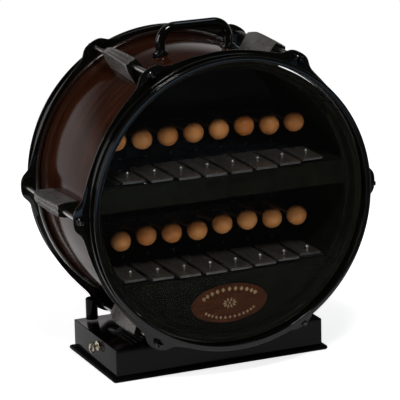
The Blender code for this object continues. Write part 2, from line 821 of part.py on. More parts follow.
def ball_points(radius, centre, start, stop, steps):
    """Arc of a ball's profile between two angles from its lower pole."""
    points = []
    for step in range(steps + 1):
        angle = start + (stop - start) * step / steps
        points.append((radius * math.sin(angle), centre - radius * math.cos(angle)))
    return points


def bar_frame(row):
    """Felted strips under the bars with the ball-headed pins and the guide posts."""
    low = shelf_top(row) + GAP
    top = low + STRIP_THICK
    front = BOARD_FRONT_Y + FRONT_STRIP_IN
    guide_y = BOARD_FRONT_Y + GUIDE_IN
    back = guide_y + GUIDE_PAST
    half = FRAME_HALF_X
    bm = bmesh.new()
    block(bm, (-half, front, low), (half, back, top))
    made = object_from(f"bar_frame_{row}", bm)
    inside = bmesh.new()
    corner = (-half + FRAME_END, front + FRONT_STRIP_DEEP, low - STRIP_THICK)
    block(inside, corner, (half - FRAME_END, back - BACK_STRIP_DEEP, top + STRIP_THICK))
    combine(made, inside, "DIFFERENCE")
    root = low + STRIP_THICK / 2
    pins = bmesh.new()
    for index in range(BARS):
        offset = place(index)
        centre = bar_top(row) + (UPPER_PIN_UP if row == "upper" else LOWER_PIN_UP)
        neck = math.asin(PIN_R / PIN_BALL_R)
        profile = [(0, root), (PIN_R, root)]
        profile += ball_points(PIN_BALL_R, centre, neck, math.pi, 5)[:-1]
        profile.append((0, centre + PIN_BALL_R))
        turn(pins, profile, 8, Matrix.Translation((offset * PITCH, pin_y(row, offset), 0)))
    tip = bar_top(row) + GUIDE_UP
    profile = ((0, root), (GUIDE_R, root), (GUIDE_R, tip), (0, tip))
    for index in range(1, BARS):
        x = (place(index) - 0.5) * PITCH
        turn(pins, profile, 8, Matrix.Translation((x, guide_y, 0)))
    combine(made, pins, "UNION")
    dress(made, "felt_strip")


def axle(row):
    """Steel axle that the mallets turn on."""
    half = BANK_HALF_X + AXLE_PAST
    profile = ((0, -half), (AXLE_R, -half), (AXLE_R, half), (0, half))
    bm = bmesh.new()
    turn(bm, profile, 16, along_x(PIVOT_Y, pivot_z(row)))
    dress(object_from(f"axle_{row}", bm), "steel")


def coil_top(row):
    """Height of the coils: a gap below the armatures when the balls reach the bars."""
    drop = math.asin((pivot_z(row) - bar_top(row) - BALL_R - STRIKE_GAP) / reach(row))
    edge = ARMATURE_BACK + ARMATURE_R
    return pivot_z(row) - ARMATURE_LOW * math.cos(drop) - edge * math.sin(drop) - COIL_GAP


def rail_top(row):
    """Height of the rest rail: a gap below the tail of the mallet that rests highest."""
    lift = math.radians(max(lifts(row)))
    edge = RAIL_BEHIND + RAIL_THICK / 2
    return pivot_z(row) - edge * math.sin(lift) - STICK_R / math.cos(lift) - GAP


def magnet_bank(row):
    """Strip on the shelf with eight coils, two end brackets and the felt rest rail."""
    low = shelf_top(row) + GAP
    root = low + BANK_STRIP / 2
    coil_y = PIVOT_Y - ARMATURE_BACK
    rail_front = PIVOT_Y + RAIL_BEHIND - RAIL_THICK / 2
    rail_back = rail_front + RAIL_THICK
    bm = bmesh.new()
    corner = (-BANK_HALF_X, coil_y - COIL_R - BANK_MARGIN, low)
    block(bm, corner, (BANK_HALF_X, rail_back + BANK_PAST_RAIL, low + BANK_STRIP))
    made = object_from(f"magnet_bank_{row}", bm)
    bracket_top = pivot_z(row) + BRACKET_OVER
    for side in (-1, 1):
        bracket = bmesh.new()
        inner = side * (BANK_HALF_X - BRACKET_THICK - GAP)
        outer = side * (BANK_HALF_X - GAP)
        corner = (min(inner, outer), PIVOT_Y - BRACKET_HALF_Y, root)
        block(bracket, corner, (max(inner, outer), PIVOT_Y + BRACKET_HALF_Y, bracket_top))
        combine(made, bracket, "UNION")
    rail = bmesh.new()
    half = BANK_HALF_X - 2 * BRACKET_THICK
    block(rail, (-half, rail_front, root), (half, rail_back, rail_top(row)))
    combine(made, rail, "UNION")
    coils = bmesh.new()
    profile = ((0, root), (COIL_R, root), (COIL_R, coil_top(row)), (0, coil_top(row)))
    for index in range(BARS):
        turn(coils, profile, 14, Matrix.Translation((place(index) * PITCH, coil_y, 0)))
    combine(made, coils, "UNION")
    hole = bmesh.new()
    past = 2 * BANK_HALF_X
    profile = ((0, -past), (HUB_BORE_R, -past), (HUB_BORE_R, past), (0, past))
    turn(hole, profile, 16, along_x(PIVOT_Y, pivot_z(row)))
    combine(made, hole, "DIFFERENCE")
    dress(made, "coil_copper")


def mallet(row, index):
    """Ball on its stick, with the hub on the axle, the armature above the coil and the tail."""
    neck = math.asin(STICK_R / BALL_R)
    profile = [(0, -TAIL), (STICK_R, -TAIL)]
    profile += ball_points(BALL_R, reach(row), neck, math.pi, 7)[:-1]
    profile.append((0, reach(row) + BALL_R))
    bm = bmesh.new()
    turn(bm, profile, 10, Matrix.Rotation(math.pi / 2, 4, "X"))
    made = object_from(f"mallet_{row}_{index + 1}", bm)
    hub = bmesh.new()
    hub_r = HUB_BORE_R + HUB_WALL
    profile = ((0, -HUB_HALF), (hub_r, -HUB_HALF), (hub_r, HUB_HALF), (0, HUB_HALF))
    turn(hub, profile, 12, along_x(0, 0))
    combine(made, hub, "UNION")
    armature = bmesh.new()
    profile = ((0, -ARMATURE_LOW), (ARMATURE_R, -ARMATURE_LOW), (ARMATURE_R, 0), (0, 0))
    turn(armature, profile, 10, Matrix.Translation((0, -ARMATURE_BACK, 0)))
    combine(made, armature, "UNION")
    bore = bmesh.new()
    past = 2 * HUB_HALF
    profile = ((0, -past), (HUB_BORE_R, -past), (HUB_BORE_R, past), (0, past))
    turn(bore, profile, 16, along_x(0, 0))
    combine(made, bore, "DIFFERENCE")
    made.location = (place(index) * PITCH, PIVOT_Y, pivot_z(row))
    made.rotation_euler = (-math.radians(lifts(row)[index]), 0, 0)
    dress(made, "ball_wood")


def key_lock():
    """Lock barrel through the box's left wall, with its rim outside."""
    face = -BOX_HALF_X
    rim_in = face - GAP
    rim_out = rim_in - LOCK_RIM_THICK
    rim_r = LOCK_R + LOCK_RIM_WIDE
    profile = (
        (LOCK_BORE_R, rim_out),
        (rim_r, rim_out),
        (rim_r, rim_in),
        (LOCK_R, rim_in),
        (LOCK_R, face + LOCK_LONG),
        (LOCK_BORE_R, face + LOCK_LONG),
    )
    bm = bmesh.new()
    turn(bm, profile, 16, along_x(KEY_Y, KEY_Z))
    dress(object_from("key_lock", bm), "nickel")


def key():
    """Key with a round shaft in the lock and a flat oval bow with a hole."""
    neck = -2 * GAP - LOCK_RIM_THICK
    bow_x = neck - KEY_NECK_LONG - BOW_HALF_X
    bm = bmesh.new()
    tip = neck + KEY_SHAFT_LONG
    profile = ((0, bow_x), (KEY_SHAFT_R, bow_x), (KEY_SHAFT_R, tip), (0, tip))
    turn(bm, profile, 12, along_x(0, 0))
    made = object_from("key", bm)
    half = BOW_THICK / 2
    sections = []
    count = 20
    for y in (-half, half):
        section = []
        for step in range(count):
            angle = 2 * math.pi * step / count
            x = bow_x + BOW_HALF_X * math.cos(angle)
            section.append(Vector((x, y, BOW_HALF_Z * math.sin(angle) - BOW_DROP)))
        sections.append(section)
    bow = bmesh.new()
    loft(bow, sections)
    combine(made, bow, "UNION")
    hole = bmesh.new()
    profile = ((0, -BOW_HALF_Z), (BOW_HOLE_R, -BOW_HALF_Z), (BOW_HOLE_R, BOW_HALF_Z), (0, BOW_HALF_Z))
    turn(hole, profile, 12, along_y(bow_x - BOW_HALF_X / 3, -BOW_DROP - BOW_HALF_Z / 2))
    combine(made, hole, "DIFFERENCE")
    made.location = (-BOX_HALF_X, KEY_Y, KEY_Z)
    dress(made, "nickel")


def controller_board():
    """Circuit board on four posts over the plinth, with its larger components."""
    low = BOX_BOTTOM_Z
    sheet_low = low + BOARD_LIFT
    sheet_top = sheet_low + BOARD_SHEET
    bm = bmesh.new()
    block(bm, (-BOARD_HALF_X, -BOARD_HALF_Y, sheet_low), (BOARD_HALF_X, BOARD_HALF_Y, sheet_top))
    made = object_from("controller_board", bm)
    extras = bmesh.new()
    for side_x in (-1, 1):
        for side_y in (-1, 1):
            x = side_x * (BOARD_HALF_X - 2 * POST_HALF)
            y = side_y * (BOARD_HALF_Y - 2 * POST_HALF)
            top = sheet_low + BOARD_SHEET / 2
            block(extras, (x - POST_HALF, y - POST_HALF, low), (x + POST_HALF, y + POST_HALF, top))
    chip_low = sheet_top - BOARD_SHEET / 2
    chip_top = sheet_top + CHIP_TALL
    for column in (-1, 0, 1):
        x = column * CHIP_SPACING
        block(extras, (x - CHIP_HALF, -CHIP_HALF, chip_low), (x + CHIP_HALF, CHIP_HALF, chip_top))
    combine(made, extras, "UNION")
    dress(made, "circuit")


def build():
    """Build every piece of the instrument."""
    clear_scene()
    drum_shell()
    head("front_head", -1, "clear_film")
    head("rear_head", 1, "dark_film")
    hoop("front_hoop", -1)
    hoop("rear_hoop", 1)
    for number, degrees in enumerate(LUG_DEGREES, start=1):
        lug(number, degrees)
    handle()
    base_box()
    base_plinth()
    peg("peg_left", -1)
    peg("peg_right", 1)
    key_lock()
    key()
    controller_board()
    shelf("upper_shelf", shelf_top("upper"), shelf_top("upper") - FASCIA_TALL)
    shelf("lower_shelf", shelf_top("lower"), 0)
    plaque()
    for row in ("upper", "lower"):
        bar_frame(row)
        axle(row)
        magnet_bank(row)
        for index in range(BARS):
            bar(row, index)
            mallet(row, index)


build()
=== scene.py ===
"""Looks of the self-playing metallophone: materials, detailed pieces, light and camera."""
import math

import bmesh
import bpy
from mathutils import Matrix, Vector


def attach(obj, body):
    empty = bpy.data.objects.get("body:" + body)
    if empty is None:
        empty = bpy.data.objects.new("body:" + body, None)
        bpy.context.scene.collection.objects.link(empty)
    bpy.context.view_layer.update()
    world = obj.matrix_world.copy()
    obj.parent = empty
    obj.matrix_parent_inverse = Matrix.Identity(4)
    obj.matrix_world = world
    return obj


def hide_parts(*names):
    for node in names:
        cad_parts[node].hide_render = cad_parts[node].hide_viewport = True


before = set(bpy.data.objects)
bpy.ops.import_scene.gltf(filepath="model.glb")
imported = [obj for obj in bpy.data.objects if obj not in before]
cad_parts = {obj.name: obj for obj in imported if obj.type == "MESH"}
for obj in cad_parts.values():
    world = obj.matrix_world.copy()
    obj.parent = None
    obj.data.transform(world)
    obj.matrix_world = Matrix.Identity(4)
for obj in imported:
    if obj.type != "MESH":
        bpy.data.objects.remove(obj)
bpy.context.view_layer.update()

MM = 0.001
PITCH = 34.7 * MM

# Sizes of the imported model
AXIS_Z = 224.0 * MM
SHELL_R = 177.8 * MM
SHELL_INNER = 171.8 * MM
SHELL_HALF = 108.0 * MM
SEAT_R = SHELL_R + 0.3 * MM
RING_R = 166.0 * MM
RING_FRONT = -87.5 * MM
RING_BACK = -78.5 * MM
BOARD_R = 165.6 * MM
BOARD_FRONT = -88.7 * MM
BOARD_BACK = -79.7 * MM
FASCIA_LOW = 226.4 * MM
SHELF_R = 171.4 * MM
SHELF_FRONT = -78.2 * MM
SHELF_BACK = 100.0 * MM
SHELF_THICK = 8.0 * MM
PLAQUE_FRONT = -91.0 * MM
PLAQUE_BACK = -89.0 * MM
ROD_CIRCLE = 197.0 * MM
HOOP_R = 186.8 * MM
FLANGE_R = 189.8 * MM
EAR_TALL = 14.7 * MM
LUG_FOOT_R = 178.1 * MM
LUG_DEGREES = (30, 90, 150, 210, 270, 330)
BOX_X = 142.5 * MM
BOX_FRONT = -62.4 * MM
BOX_BACK = 83.5 * MM
BOX_LOW = 6.6 * MM
BOX_TOP = 41.3 * MM
KEY_Y = -1.4 * MM
KEY_Z = 30.1 * MM
SHELF_TOP = {"upper": 256.6 * MM, "lower": 130.0 * MM}
BAR_TOP = {"upper": 263.0 * MM, "lower": 136.4 * MM}
BAR_HALF = 14.3 * MM
BAR_THICK = 3.4 * MM
PIN_UP = {"upper": 4.4 * MM, "lower": 5.2 * MM}
FRAME_UP = 0.3 * MM
AXLE_Y = 70.0 * MM
PIVOT = {"upper": 293.8 * MM, "lower": 169.4 * MM}
REACH = {"upper": 101.2 * MM, "lower": 106.1 * MM}
LIFT = {"upper": (4.5, 3.3, 3.4, 3.4, 3.4, 3.9, 2.5, 2.4), "lower": (2.5, 4.0, 3.4, 2.8, 4.8, 5.2, 4.0, 3.7)}
BALL_R = 13.0 * MM
COIL_TOP = {"upper": 281.7 * MM, "lower": 156.9 * MM}
RAIL_TOP = {"upper": 289.9 * MM, "lower": 165.3 * MM}

# Camera, fitted to the photograph
CAMERA_AZIMUTH = -23.25
CAMERA_ELEVATION = 15.13
CAMERA_ROLL = -1.34
CAMERA_DISTANCE = 3.224
CAMERA_LENS = 235.25
CAMERA_SENSOR = 36.0
LOOK_FROM_POINT = Vector((0.0, -0.106, 0.224))
LOOK_RIGHT = -0.0391
LOOK_UP = 0.0048


def camera():
    """Camera at the photograph's viewing angle."""
    azimuth = math.radians(CAMERA_AZIMUTH)
    elevation = math.radians(CAMERA_ELEVATION)
    roll = math.radians(CAMERA_ROLL)
    right = Vector((math.cos(azimuth), math.sin(azimuth), 0))
    back = Vector((
        math.sin(azimuth) * math.cos(elevation),
        -math.cos(azimuth) * math.cos(elevation),
        math.sin(elevation),
    ))
    up = back.cross(right)
    target = LOOK_FROM_POINT + LOOK_RIGHT * right + LOOK_UP * up
    rolled_right = math.cos(roll) * right + math.sin(roll) * up
    rolled_up = math.cos(roll) * up - math.sin(roll) * right
    turn = Matrix((rolled_right, rolled_up, back)).transposed()
    data = bpy.data.cameras.new("camera")
    data.lens = CAMERA_LENS
    data.sensor_width = CAMERA_SENSOR
    data.sensor_fit = "HORIZONTAL"
    data.dof.use_dof = False
    data.clip_start = 0.1
    data.clip_end = 100
    made = bpy.data.objects.new("camera", data)
    made.matrix_world = Matrix.Translation(target + CAMERA_DISTANCE * back) @ turn.to_4x4()
    bpy.context.scene.collection.objects.link(made)
    bpy.context.scene.camera = made


def area_light(name, place, size, power, target, colour=(1, 1, 1), roll=0.0):
    """Soft rectangular light that points at a target, turned about its own axis by a roll in degrees."""
    data = bpy.data.lights.new(name, "AREA")
    data.shape = "RECTANGLE"
    data.size = size[0]
    data.size_y = size[1]
    data.energy = power
    data.color = colour
    made = bpy.data.objects.new(name, data)
    aim = Vector(target) - Vector(place)
    aimed = aim.to_track_quat("-Z", "Y").to_matrix().to_4x4()
    made.matrix_world = Matrix.Translation(place) @ aimed @ Matrix.Rotation(math.radians(roll), 4, "Z")
    bpy.context.scene.collection.objects.link(made)
    return made


def studio():
    """Pale floor sheet, pale surroundings and soft lights."""
    floor_sheet()
    surroundings()
    warm, cool, blue, faint = (1.0, 0.95, 0.88), (0.75, 0.87, 1.0), (0.45, 0.68, 1.0), (1.0, 0.97, 0.98)
    area_light("key", (-0.41, -1.52, 2.16), (0.5, 0.45), 29, (0, 0, 0.2))
    area_light("left_side", (-2.4, 0.1, 1.0), (1.4, 1.2), 22, (0, 0, 0.2), faint)
    area_light("front_fill", (0.23, -1.79, -0.02), (1.15, 1.2), 3.2, (0.23, -1.79, 2.0), blue, 22)
    area_light("overhead", (0.9, -0.5, 2.6), (1.0, 0.7), 4.5, (0, -0.1, 0.4), cool)
    area_light("back_top", (0.0, 1.2, 2.6), (1.6, 1.2), 3, (0, 0, 0.22))
    bounce = area_light("floor_bounce", (-0.1, -0.85, -0.02), (1.4, 1.0), 11, (-0.1, -0.55, 1.0), warm)
    bounce.visible_glossy = False
    bounce.visible_camera = False


def floor_sheet():
    """White sheet that shines fully for the camera and faintly for the instrument."""
    half, front, back, drop = 1.6, -0.45, 1.3, 0.0005
    bm = bmesh.new()
    bm.faces.new([bm.verts.new((x, y, -drop)) for x, y in rectangle(half, front, back)])
    mesh = bpy.data.meshes.new("floor")
    bm.to_mesh(mesh)
    bm.free()
    floor = bpy.data.objects.new("floor", mesh)
    bpy.context.scene.collection.objects.link(floor)
    made, tree, shader = principled("floor_pale", (0.80, 0.80, 0.80), 0.9, gloss=0.0)
    shader.inputs["Emission Color"].default_value = (1, 1, 1, 1)
    place = tree.nodes.new("ShaderNodeTexCoord")
    away = tree.nodes.new("ShaderNodeVectorMath")
    away.operation = "LENGTH"
    near, far = 0.3, 1.1
    glow = map_range(tree, near, far, 0.82, 0.95)
    rays = tree.nodes.new("ShaderNodeLightPath")
    share = map_range(tree, 0.0, 1.0, 0.28, 1.0)
    tree.links.new(place.outputs["Object"], away.inputs[0])
    tree.links.new(away.outputs["Value"], glow.inputs["Value"])
    tree.links.new(rays.outputs["Is Camera Ray"], share.inputs["Value"])
    tree.links.new(product(tree, glow, share), shader.inputs["Emission Strength"])
    mesh.materials.append(made)


def map_range(tree, from_min, from_max, to_min, to_max):
    """Linear map of a value, held at both ends."""
    made = tree.nodes.new("ShaderNodeMapRange")
    made.inputs["From Min"].default_value = from_min
    made.inputs["From Max"].default_value = from_max
    made.inputs["To Min"].default_value = to_min
    made.inputs["To Max"].default_value = to_max
    return made


def product(tree, first, second):
    """Product of the results of two mapped values."""
    made = tree.nodes.new("ShaderNodeMath")
    made.operation = "MULTIPLY"
    tree.links.new(first.outputs["Result"], made.inputs[0])
    tree.links.new(second.outputs["Result"], made.inputs[1])
    return made.outputs["Value"]


def surroundings():
    """White for the camera; for the instrument, pale low behind it and dim in front of and above it."""
    world = bpy.data.worlds.new("studio")
    world.use_nodes = True
    tree = world.node_tree
    walls = tree.nodes["Background"]
    walls.inputs["Color"].default_value = (1.0, 0.95, 0.95, 1)
    place = tree.nodes.new("ShaderNodeTexCoord")
    axes = tree.nodes.new("ShaderNodeSeparateXYZ")
    depth = map_range(tree, -0.3, 0.6, 0.035, 0.45)
    rise = map_range(tree, 0.16, 0.34, 1.0, 0.09)
    tree.links.new(place.outputs["Generated"], axes.inputs["Vector"])
    tree.links.new(axes.outputs["Y"], depth.inputs["Value"])
    tree.links.new(axes.outputs["Z"], rise.inputs["Value"])
    tree.links.new(product(tree, depth, rise), walls.inputs["Strength"])
    backdrop = tree.nodes.new("ShaderNodeBackground")
    backdrop.inputs["Color"].default_value = (1, 1, 1, 1)
    backdrop.inputs["Strength"].default_value = 1.0
    rays = tree.nodes.new("ShaderNodeLightPath")
    choose = tree.nodes.new("ShaderNodeMixShader")
    tree.links.new(rays.outputs["Is Camera Ray"], choose.inputs["Fac"])
    tree.links.new(walls.outputs["Background"], choose.inputs[1])
    tree.links.new(backdrop.outputs["Background"], choose.inputs[2])
    tree.links.new(choose.outputs["Shader"], tree.nodes["World Output"].inputs["Surface"])
    bpy.context.scene.world = world
    bpy.context.scene.view_settings.view_transform = "Standard"


def principled(name, colour, roughness, metallic=0.0, gloss=0.5):
    """Principled material and its node tree."""
    made = bpy.data.materials.new(name)
    made.use_nodes = True
    shader = made.node_tree.nodes["Principled BSDF"]
    shader.inputs["Base Color"].default_value = (*colour, 1)
    shader.inputs["Roughness"].default_value = roughness
    shader.inputs["Metallic"].default_value = metallic
    shader.inputs["Specular IOR Level"].default_value = gloss
    return made, made.node_tree, shader


def noise(tree, scale, detail=4.0, roughness=0.55, stretch=(1, 1, 1)):
    """Object-space noise, stretched along the axes."""
    place = tree.nodes.new("ShaderNodeTexCoord")
    mapping = tree.nodes.new("ShaderNodeMapping")
    mapping.inputs["Scale"].default_value = stretch
    texture = tree.nodes.new("ShaderNodeTexNoise")
    texture.inputs["Scale"].default_value = scale
    texture.inputs["Detail"].default_value = detail
    texture.inputs["Roughness"].default_value = roughness
    tree.links.new(place.outputs["Object"], mapping.inputs["Vector"])
    tree.links.new(mapping.outputs["Vector"], texture.inputs["Vector"])
    return texture


def ramp(tree, source, stops):
    """Colour ramp over a factor."""
    made = tree.nodes.new("ShaderNodeValToRGB")
    while len(made.color_ramp.elements) < len(stops):
        made.color_ramp.elements.new(0.5)
    for element, (place, colour) in zip(made.color_ramp.elements, stops):
        element.position = place
        element.color = (*colour, 1)
    tree.links.new(source, made.inputs["Fac"])
    return made


def bump(tree, shader, source, strength, distance):
    """Bump the shader's normal by a height."""
    made = tree.nodes.new("ShaderNodeBump")
    made.inputs["Strength"].default_value = strength
    made.inputs["Distance"].default_value = distance
    tree.links.new(source, made.inputs["Height"])
    tree.links.new(made.outputs["Normal"], shader.inputs["Normal"])


def speckled(name, dark, pale, roughness, metallic, scale, bump_strength, stretch=(1, 1, 1), gloss=0.5):
    """Material whose colour, roughness and surface vary with a noise."""
    made, tree, shader = principled(name, dark, roughness, metallic, gloss)
    texture = noise(tree, scale, stretch=stretch)
    colours = ramp(tree, texture.outputs["Fac"], ((0.3, dark), (0.7, pale)))
    tree.links.new(colours.outputs["Color"], shader.inputs["Base Color"])
    spread = map_range(tree, 0.0, 1.0, max(roughness - 0.05, 0.02), roughness + 0.08)
    tree.links.new(texture.outputs["Fac"], spread.inputs["Value"])
    tree.links.new(spread.outputs["Result"], shader.inputs["Roughness"])
    bump(tree, shader, texture.outputs["Fac"], bump_strength, 0.0004)
    return made


def clear_film():
    """Clear drum film that shows what is behind it."""
    made, tree, shader = principled("clear_film", (0.02, 0.02, 0.02), 0.03)
    shader.inputs["Alpha"].default_value = 0.03
    texture = noise(tree, 30)
    spread = map_range(tree, 0.0, 1.0, 0.02, 0.06)
    tree.links.new(texture.outputs["Fac"], spread.inputs["Value"])
    tree.links.new(spread.outputs["Result"], shader.inputs["Roughness"])
    return made


EVEN = (1, 1, 1)

# Finish of each look: dark and pale colour, roughness, metallic share, noise scale, bump, stretch, gloss
FINISHES = (
    ("shell_wood", (0.014, 0.0042, 0.0014), (0.040, 0.0105, 0.0042), 0.10, 0.0, 14, 0.02, (1, 8, 1), 0.25),
    ("hoop_black", (0.0016, 0.0017, 0.0014), (0.003, 0.0031, 0.0026), 0.08, 0.0, 60, 0.01, EVEN, 0.45),
    ("dark_film", (0.010, 0.010, 0.010), (0.016, 0.016, 0.016), 0.40, 0.0, 40, 0.05, EVEN, 0.3),
    ("lug_grey", (0.125, 0.119, 0.112), (0.185, 0.177, 0.168), 0.26, 0.5, 90, 0.03, EVEN, 0.5),
    ("board_black", (0.0030, 0.0034, 0.0021), (0.0072, 0.0078, 0.0050), 0.60, 0.0, 70, 0.12, EVEN, 0.02),
    ("plaque_wood", (0.024, 0.0065, 0.0018), (0.075, 0.0215, 0.006), 0.30, 0.0, 60, 0.03, (0.5, 1, 6), 0.06),
    ("bar_metal", (0.062, 0.056, 0.047), (0.100, 0.091, 0.078), 0.26, 0.5, 50, 0.02, (1, 0.2, 1), 0.5),
    ("felt", (0.010, 0.009, 0.009), (0.030, 0.027, 0.028), 0.90, 0.0, 300, 0.5, EVEN, 0.1),
    ("steel", (0.50, 0.49, 0.47), (0.62, 0.61, 0.59), 0.20, 1.0, 80, 0.02, EVEN, 0.5),
    ("coil_copper", (0.010, 0.006, 0.004), (0.022, 0.012, 0.008), 0.45, 0.3, 100, 0.3, (1, 1, 12), 0.3),
    ("nickel", (0.52, 0.46, 0.36), (0.66, 0.60, 0.48), 0.22, 1.0, 60, 0.02, EVEN, 0.5),
    ("base_lacquer", (0.0018, 0.0019, 0.0016), (0.0034, 0.0034, 0.0034), 0.10, 0.0, 25, 0.01, EVEN, 0.14),
    ("circuit", (0.01, 0.08, 0.03), (0.03, 0.16, 0.06), 0.45, 0.0, 90, 0.05, EVEN, 0.5),
    ("plinth_black", (0.0016, 0.0017, 0.0015), (0.0032, 0.0032, 0.0030), 0.28, 0.0, 25, 0.02, EVEN, 0.03),
    ("ball_wood", (0.33, 0.100, 0.020), (0.60, 0.285, 0.100), 0.30, 0.0, 14, 0.05, (1, 0.3, 1), 0.25),
    ("shell_inside", (0.0030, 0.0034, 0.0021), (0.0078, 0.0084, 0.0055), 0.55, 0.0, 50, 0.08, EVEN, 0.02),
    # Paler metal: the bars' real marks, and the painted highlight on the bars' front ends
    ("bar_mark_and_highlight", (0.10, 0.10, 0.095), (0.16, 0.16, 0.15), 0.30, 0.8, 90, 0.02, EVEN, 0.5),
    ("pin_bright", (0.40, 0.38, 0.33), (0.55, 0.52, 0.46), 0.25, 0.6, 90, 0.02, EVEN, 0.5),
    ("rod_dark", (0.045, 0.043, 0.041), (0.075, 0.072, 0.068), 0.13, 1.0, 80, 0.02, EVEN, 0.5),
    ("dark_steel", (0.010, 0.010, 0.011), (0.022, 0.022, 0.024), 0.40, 0.5, 70, 0.03, EVEN, 0.3),
    ("post_dark", (0.006, 0.006, 0.006), (0.012, 0.012, 0.012), 0.50, 0.0, 80, 0.05, EVEN, 0.3),
    ("post_cap", (0.10, 0.10, 0.09), (0.16, 0.16, 0.14), 0.70, 0.0, 200, 0.2, EVEN, 0.3),
    ("stick_wood", (0.12, 0.055, 0.024), (0.22, 0.105, 0.048), 0.45, 0.0, 80, 0.1, (1, 0.15, 1), 0.3),
    ("inlay", (0.20, 0.135, 0.068), (0.30, 0.215, 0.120), 0.35, 0.0, 120, 0.05, EVEN, 0.2),
)
MATERIALS = {}


def make_materials():
    """One procedural material for each kind of surface."""
    MATERIALS["clear_film"] = clear_film()
    for row in FINISHES:
        MATERIALS[row[0]] = speckled(*row)


def smooth_mesh(name, bm, angle):
    """Object from a bmesh, with outward faces and its round faces smoothed."""
    bmesh.ops.recalc_face_normals(bm, faces=bm.faces)
    mesh = bpy.data.meshes.new(name)
    bm.to_mesh(mesh)
    bm.free()
    mesh.shade_smooth()
    mesh.set_sharp_from_angle(angle=math.radians(angle))
    made = bpy.data.objects.new(name, mesh)
    bpy.context.scene.collection.objects.link(made)
    return made


def piece(name, bm, slot, look=None, body="instrument", nodes=(), angle=32):
    """Finished piece: mesh, material, body and the CAD nodes it stands for, which are hidden; the slot name
    only picks the material when no look is given.
    """
    made = smooth_mesh(name, bm, angle)
    made.data.materials.append(MATERIALS[look or slot])
    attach(made, body)
    if nodes:
        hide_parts(*nodes)
    return made


def turned(name, profile, steps, matrix, slot, closed=False, **rest):
    """Piece that is one turned body."""
    bm = bmesh.new()
    turn(bm, profile, steps, matrix, closed)
    return piece(name, bm, slot, **rest)


def paint(made, look, chosen):
    """Give the faces that a test chooses another look."""
    made.data.materials.append(MATERIALS[look])
    for face in made.data.polygons:
        if chosen(face):
            face.material_index = 1


def cut(made, cutter):
    """Cut one mesh from a piece."""
    tool = smooth_mesh("cutter", cutter, 30)
    change = made.modifiers.new("cut", "BOOLEAN")
    change.operation = "DIFFERENCE"
    change.solver = "EXACT"
    change.object = tool
    bpy.context.view_layer.update()
    graph = bpy.context.evaluated_depsgraph_get()
    mesh = bpy.data.meshes.new_from_object(made.evaluated_get(graph))
    made.modifiers.clear()
    made.data = mesh
    bpy.data.objects.remove(tool)


def in_mm(points):
    """Points in millimetres, as metres."""
    return [(a * MM, b * MM) for a, b in points]


def on_side(profile, side):
    """Turned profile in millimetres, as metres, towards the front (-1) or the rear (1)."""
    return [(radius * MM, side * y * MM) for radius, y in profile]


def rectangle(half, front, back, middle=0.0):
    """Corners of a rectangle, anticlockwise from the front left."""
    left, right = middle - half, middle + half
    return ((left, front), (right, front), (right, back), (left, back))


def ellipse(cx, cz, rx, rz, steps):
    """Ellipse outline, anticlockwise."""
    angles = [2 * math.pi * step / steps for step in range(steps)]
    return [(cx + rx * math.cos(a), cz + rz * math.sin(a)) for a in angles]


def rounded(points, radius, steps=3, closed=True):
    """Polygon with its corners rounded: each corner becomes a short arc."""
    result = []
    count = len(points)
    for index, point in enumerate(points):
        here = Vector(point)
        if not closed and index in (0, count - 1):
            result.append(here)
            continue
        before = Vector(points[index - 1]) - here
        after = Vector(points[(index + 1) % count]) - here
        reach = min(radius, before.length * 0.45, after.length * 0.45)
        start = here + before.normalized() * reach
        stop = here + after.normalized() * reach
        for step in range(steps + 1):
            share = step / steps
            result.append((1 - share) ** 2 * start + 2 * share * (1 - share) * here + share ** 2 * stop)
    return [tuple(point) for point in result]


def grid(bm, rings, closed_ring=True, closed_run=False, caps=(False, False)):
    """Faces between rings of points; a ring of one point is a pole."""
    made = [[bm.verts.new(point) for point in ring] for ring in rings]
    pairs = list(zip(made, made[1:]))
    if closed_run:
        pairs.append((made[-1], made[0]))
    for low, high in pairs:
        count = max(len(low), len(high))
        for step in range(count if closed_ring else count - 1):
            after = (step + 1) % count
            corners = (
                low[step % len(low)], low[after % len(low)],
                high[after % len(high)], high[step % len(high)],
            )
            corners = list(dict.fromkeys(corners))
            if len(corners) > 2:
                bm.faces.new(corners)
    if caps[0]:
        bm.faces.new(made[0][::-1])
    if caps[1]:
        bm.faces.new(made[-1])
    return made


def turn(bm, profile, steps, matrix, closed=False):
    """Turned body from (radius, height) points; an open profile runs from axis to axis."""
    rings = []
    for radius, height in profile:
        if radius < 1e-7:
            rings.append([matrix @ Vector((0, 0, height))])
            continue
        rings.append([
            matrix @ Vector((
                radius * math.sin(2 * math.pi * step / steps),
                radius * math.cos(2 * math.pi * step / steps),
                height,
            )) for step in range(steps)
        ])
    grid(bm, rings, closed_run=closed)


def along_y(x, z, y=0.0):
    """Matrix that lays a turned profile's axis along +Y."""
    return Matrix.Translation((x, y, z)) @ Matrix.Rotation(-math.pi / 2, 4, "X")


def along_x(y, z, x=0.0):
    """Matrix that lays a turned profile's axis along +X."""
    return Matrix.Translation((x, y, z)) @ Matrix.Rotation(math.pi / 2, 4, "Y")


def block(bm, low, high, bevel=0.0, steps=2):
    """Block with rounded edges."""
    low = Vector(low)
    high = Vector(high)
    own = bmesh.new()
    bmesh.ops.create_cube(own, size=1.0)
    size = high - low
    middle = (high + low) / 2
    for vert in own.verts:
        vert.co = Vector((vert.co.x * size.x, vert.co.y * size.y, vert.co.z * size.z)) + middle
    if bevel > 0:
        bmesh.ops.bevel(own, geom=list(own.edges), offset=bevel, segments=steps, profile=0.5, affect="EDGES")
    merge(bm, own)


def merge(bm, own):
    """Add one bmesh to another."""
    mesh = bpy.data.meshes.new("part")
    own.to_mesh(mesh)
    own.free()
    bm.from_mesh(mesh)
    bpy.data.meshes.remove(mesh)


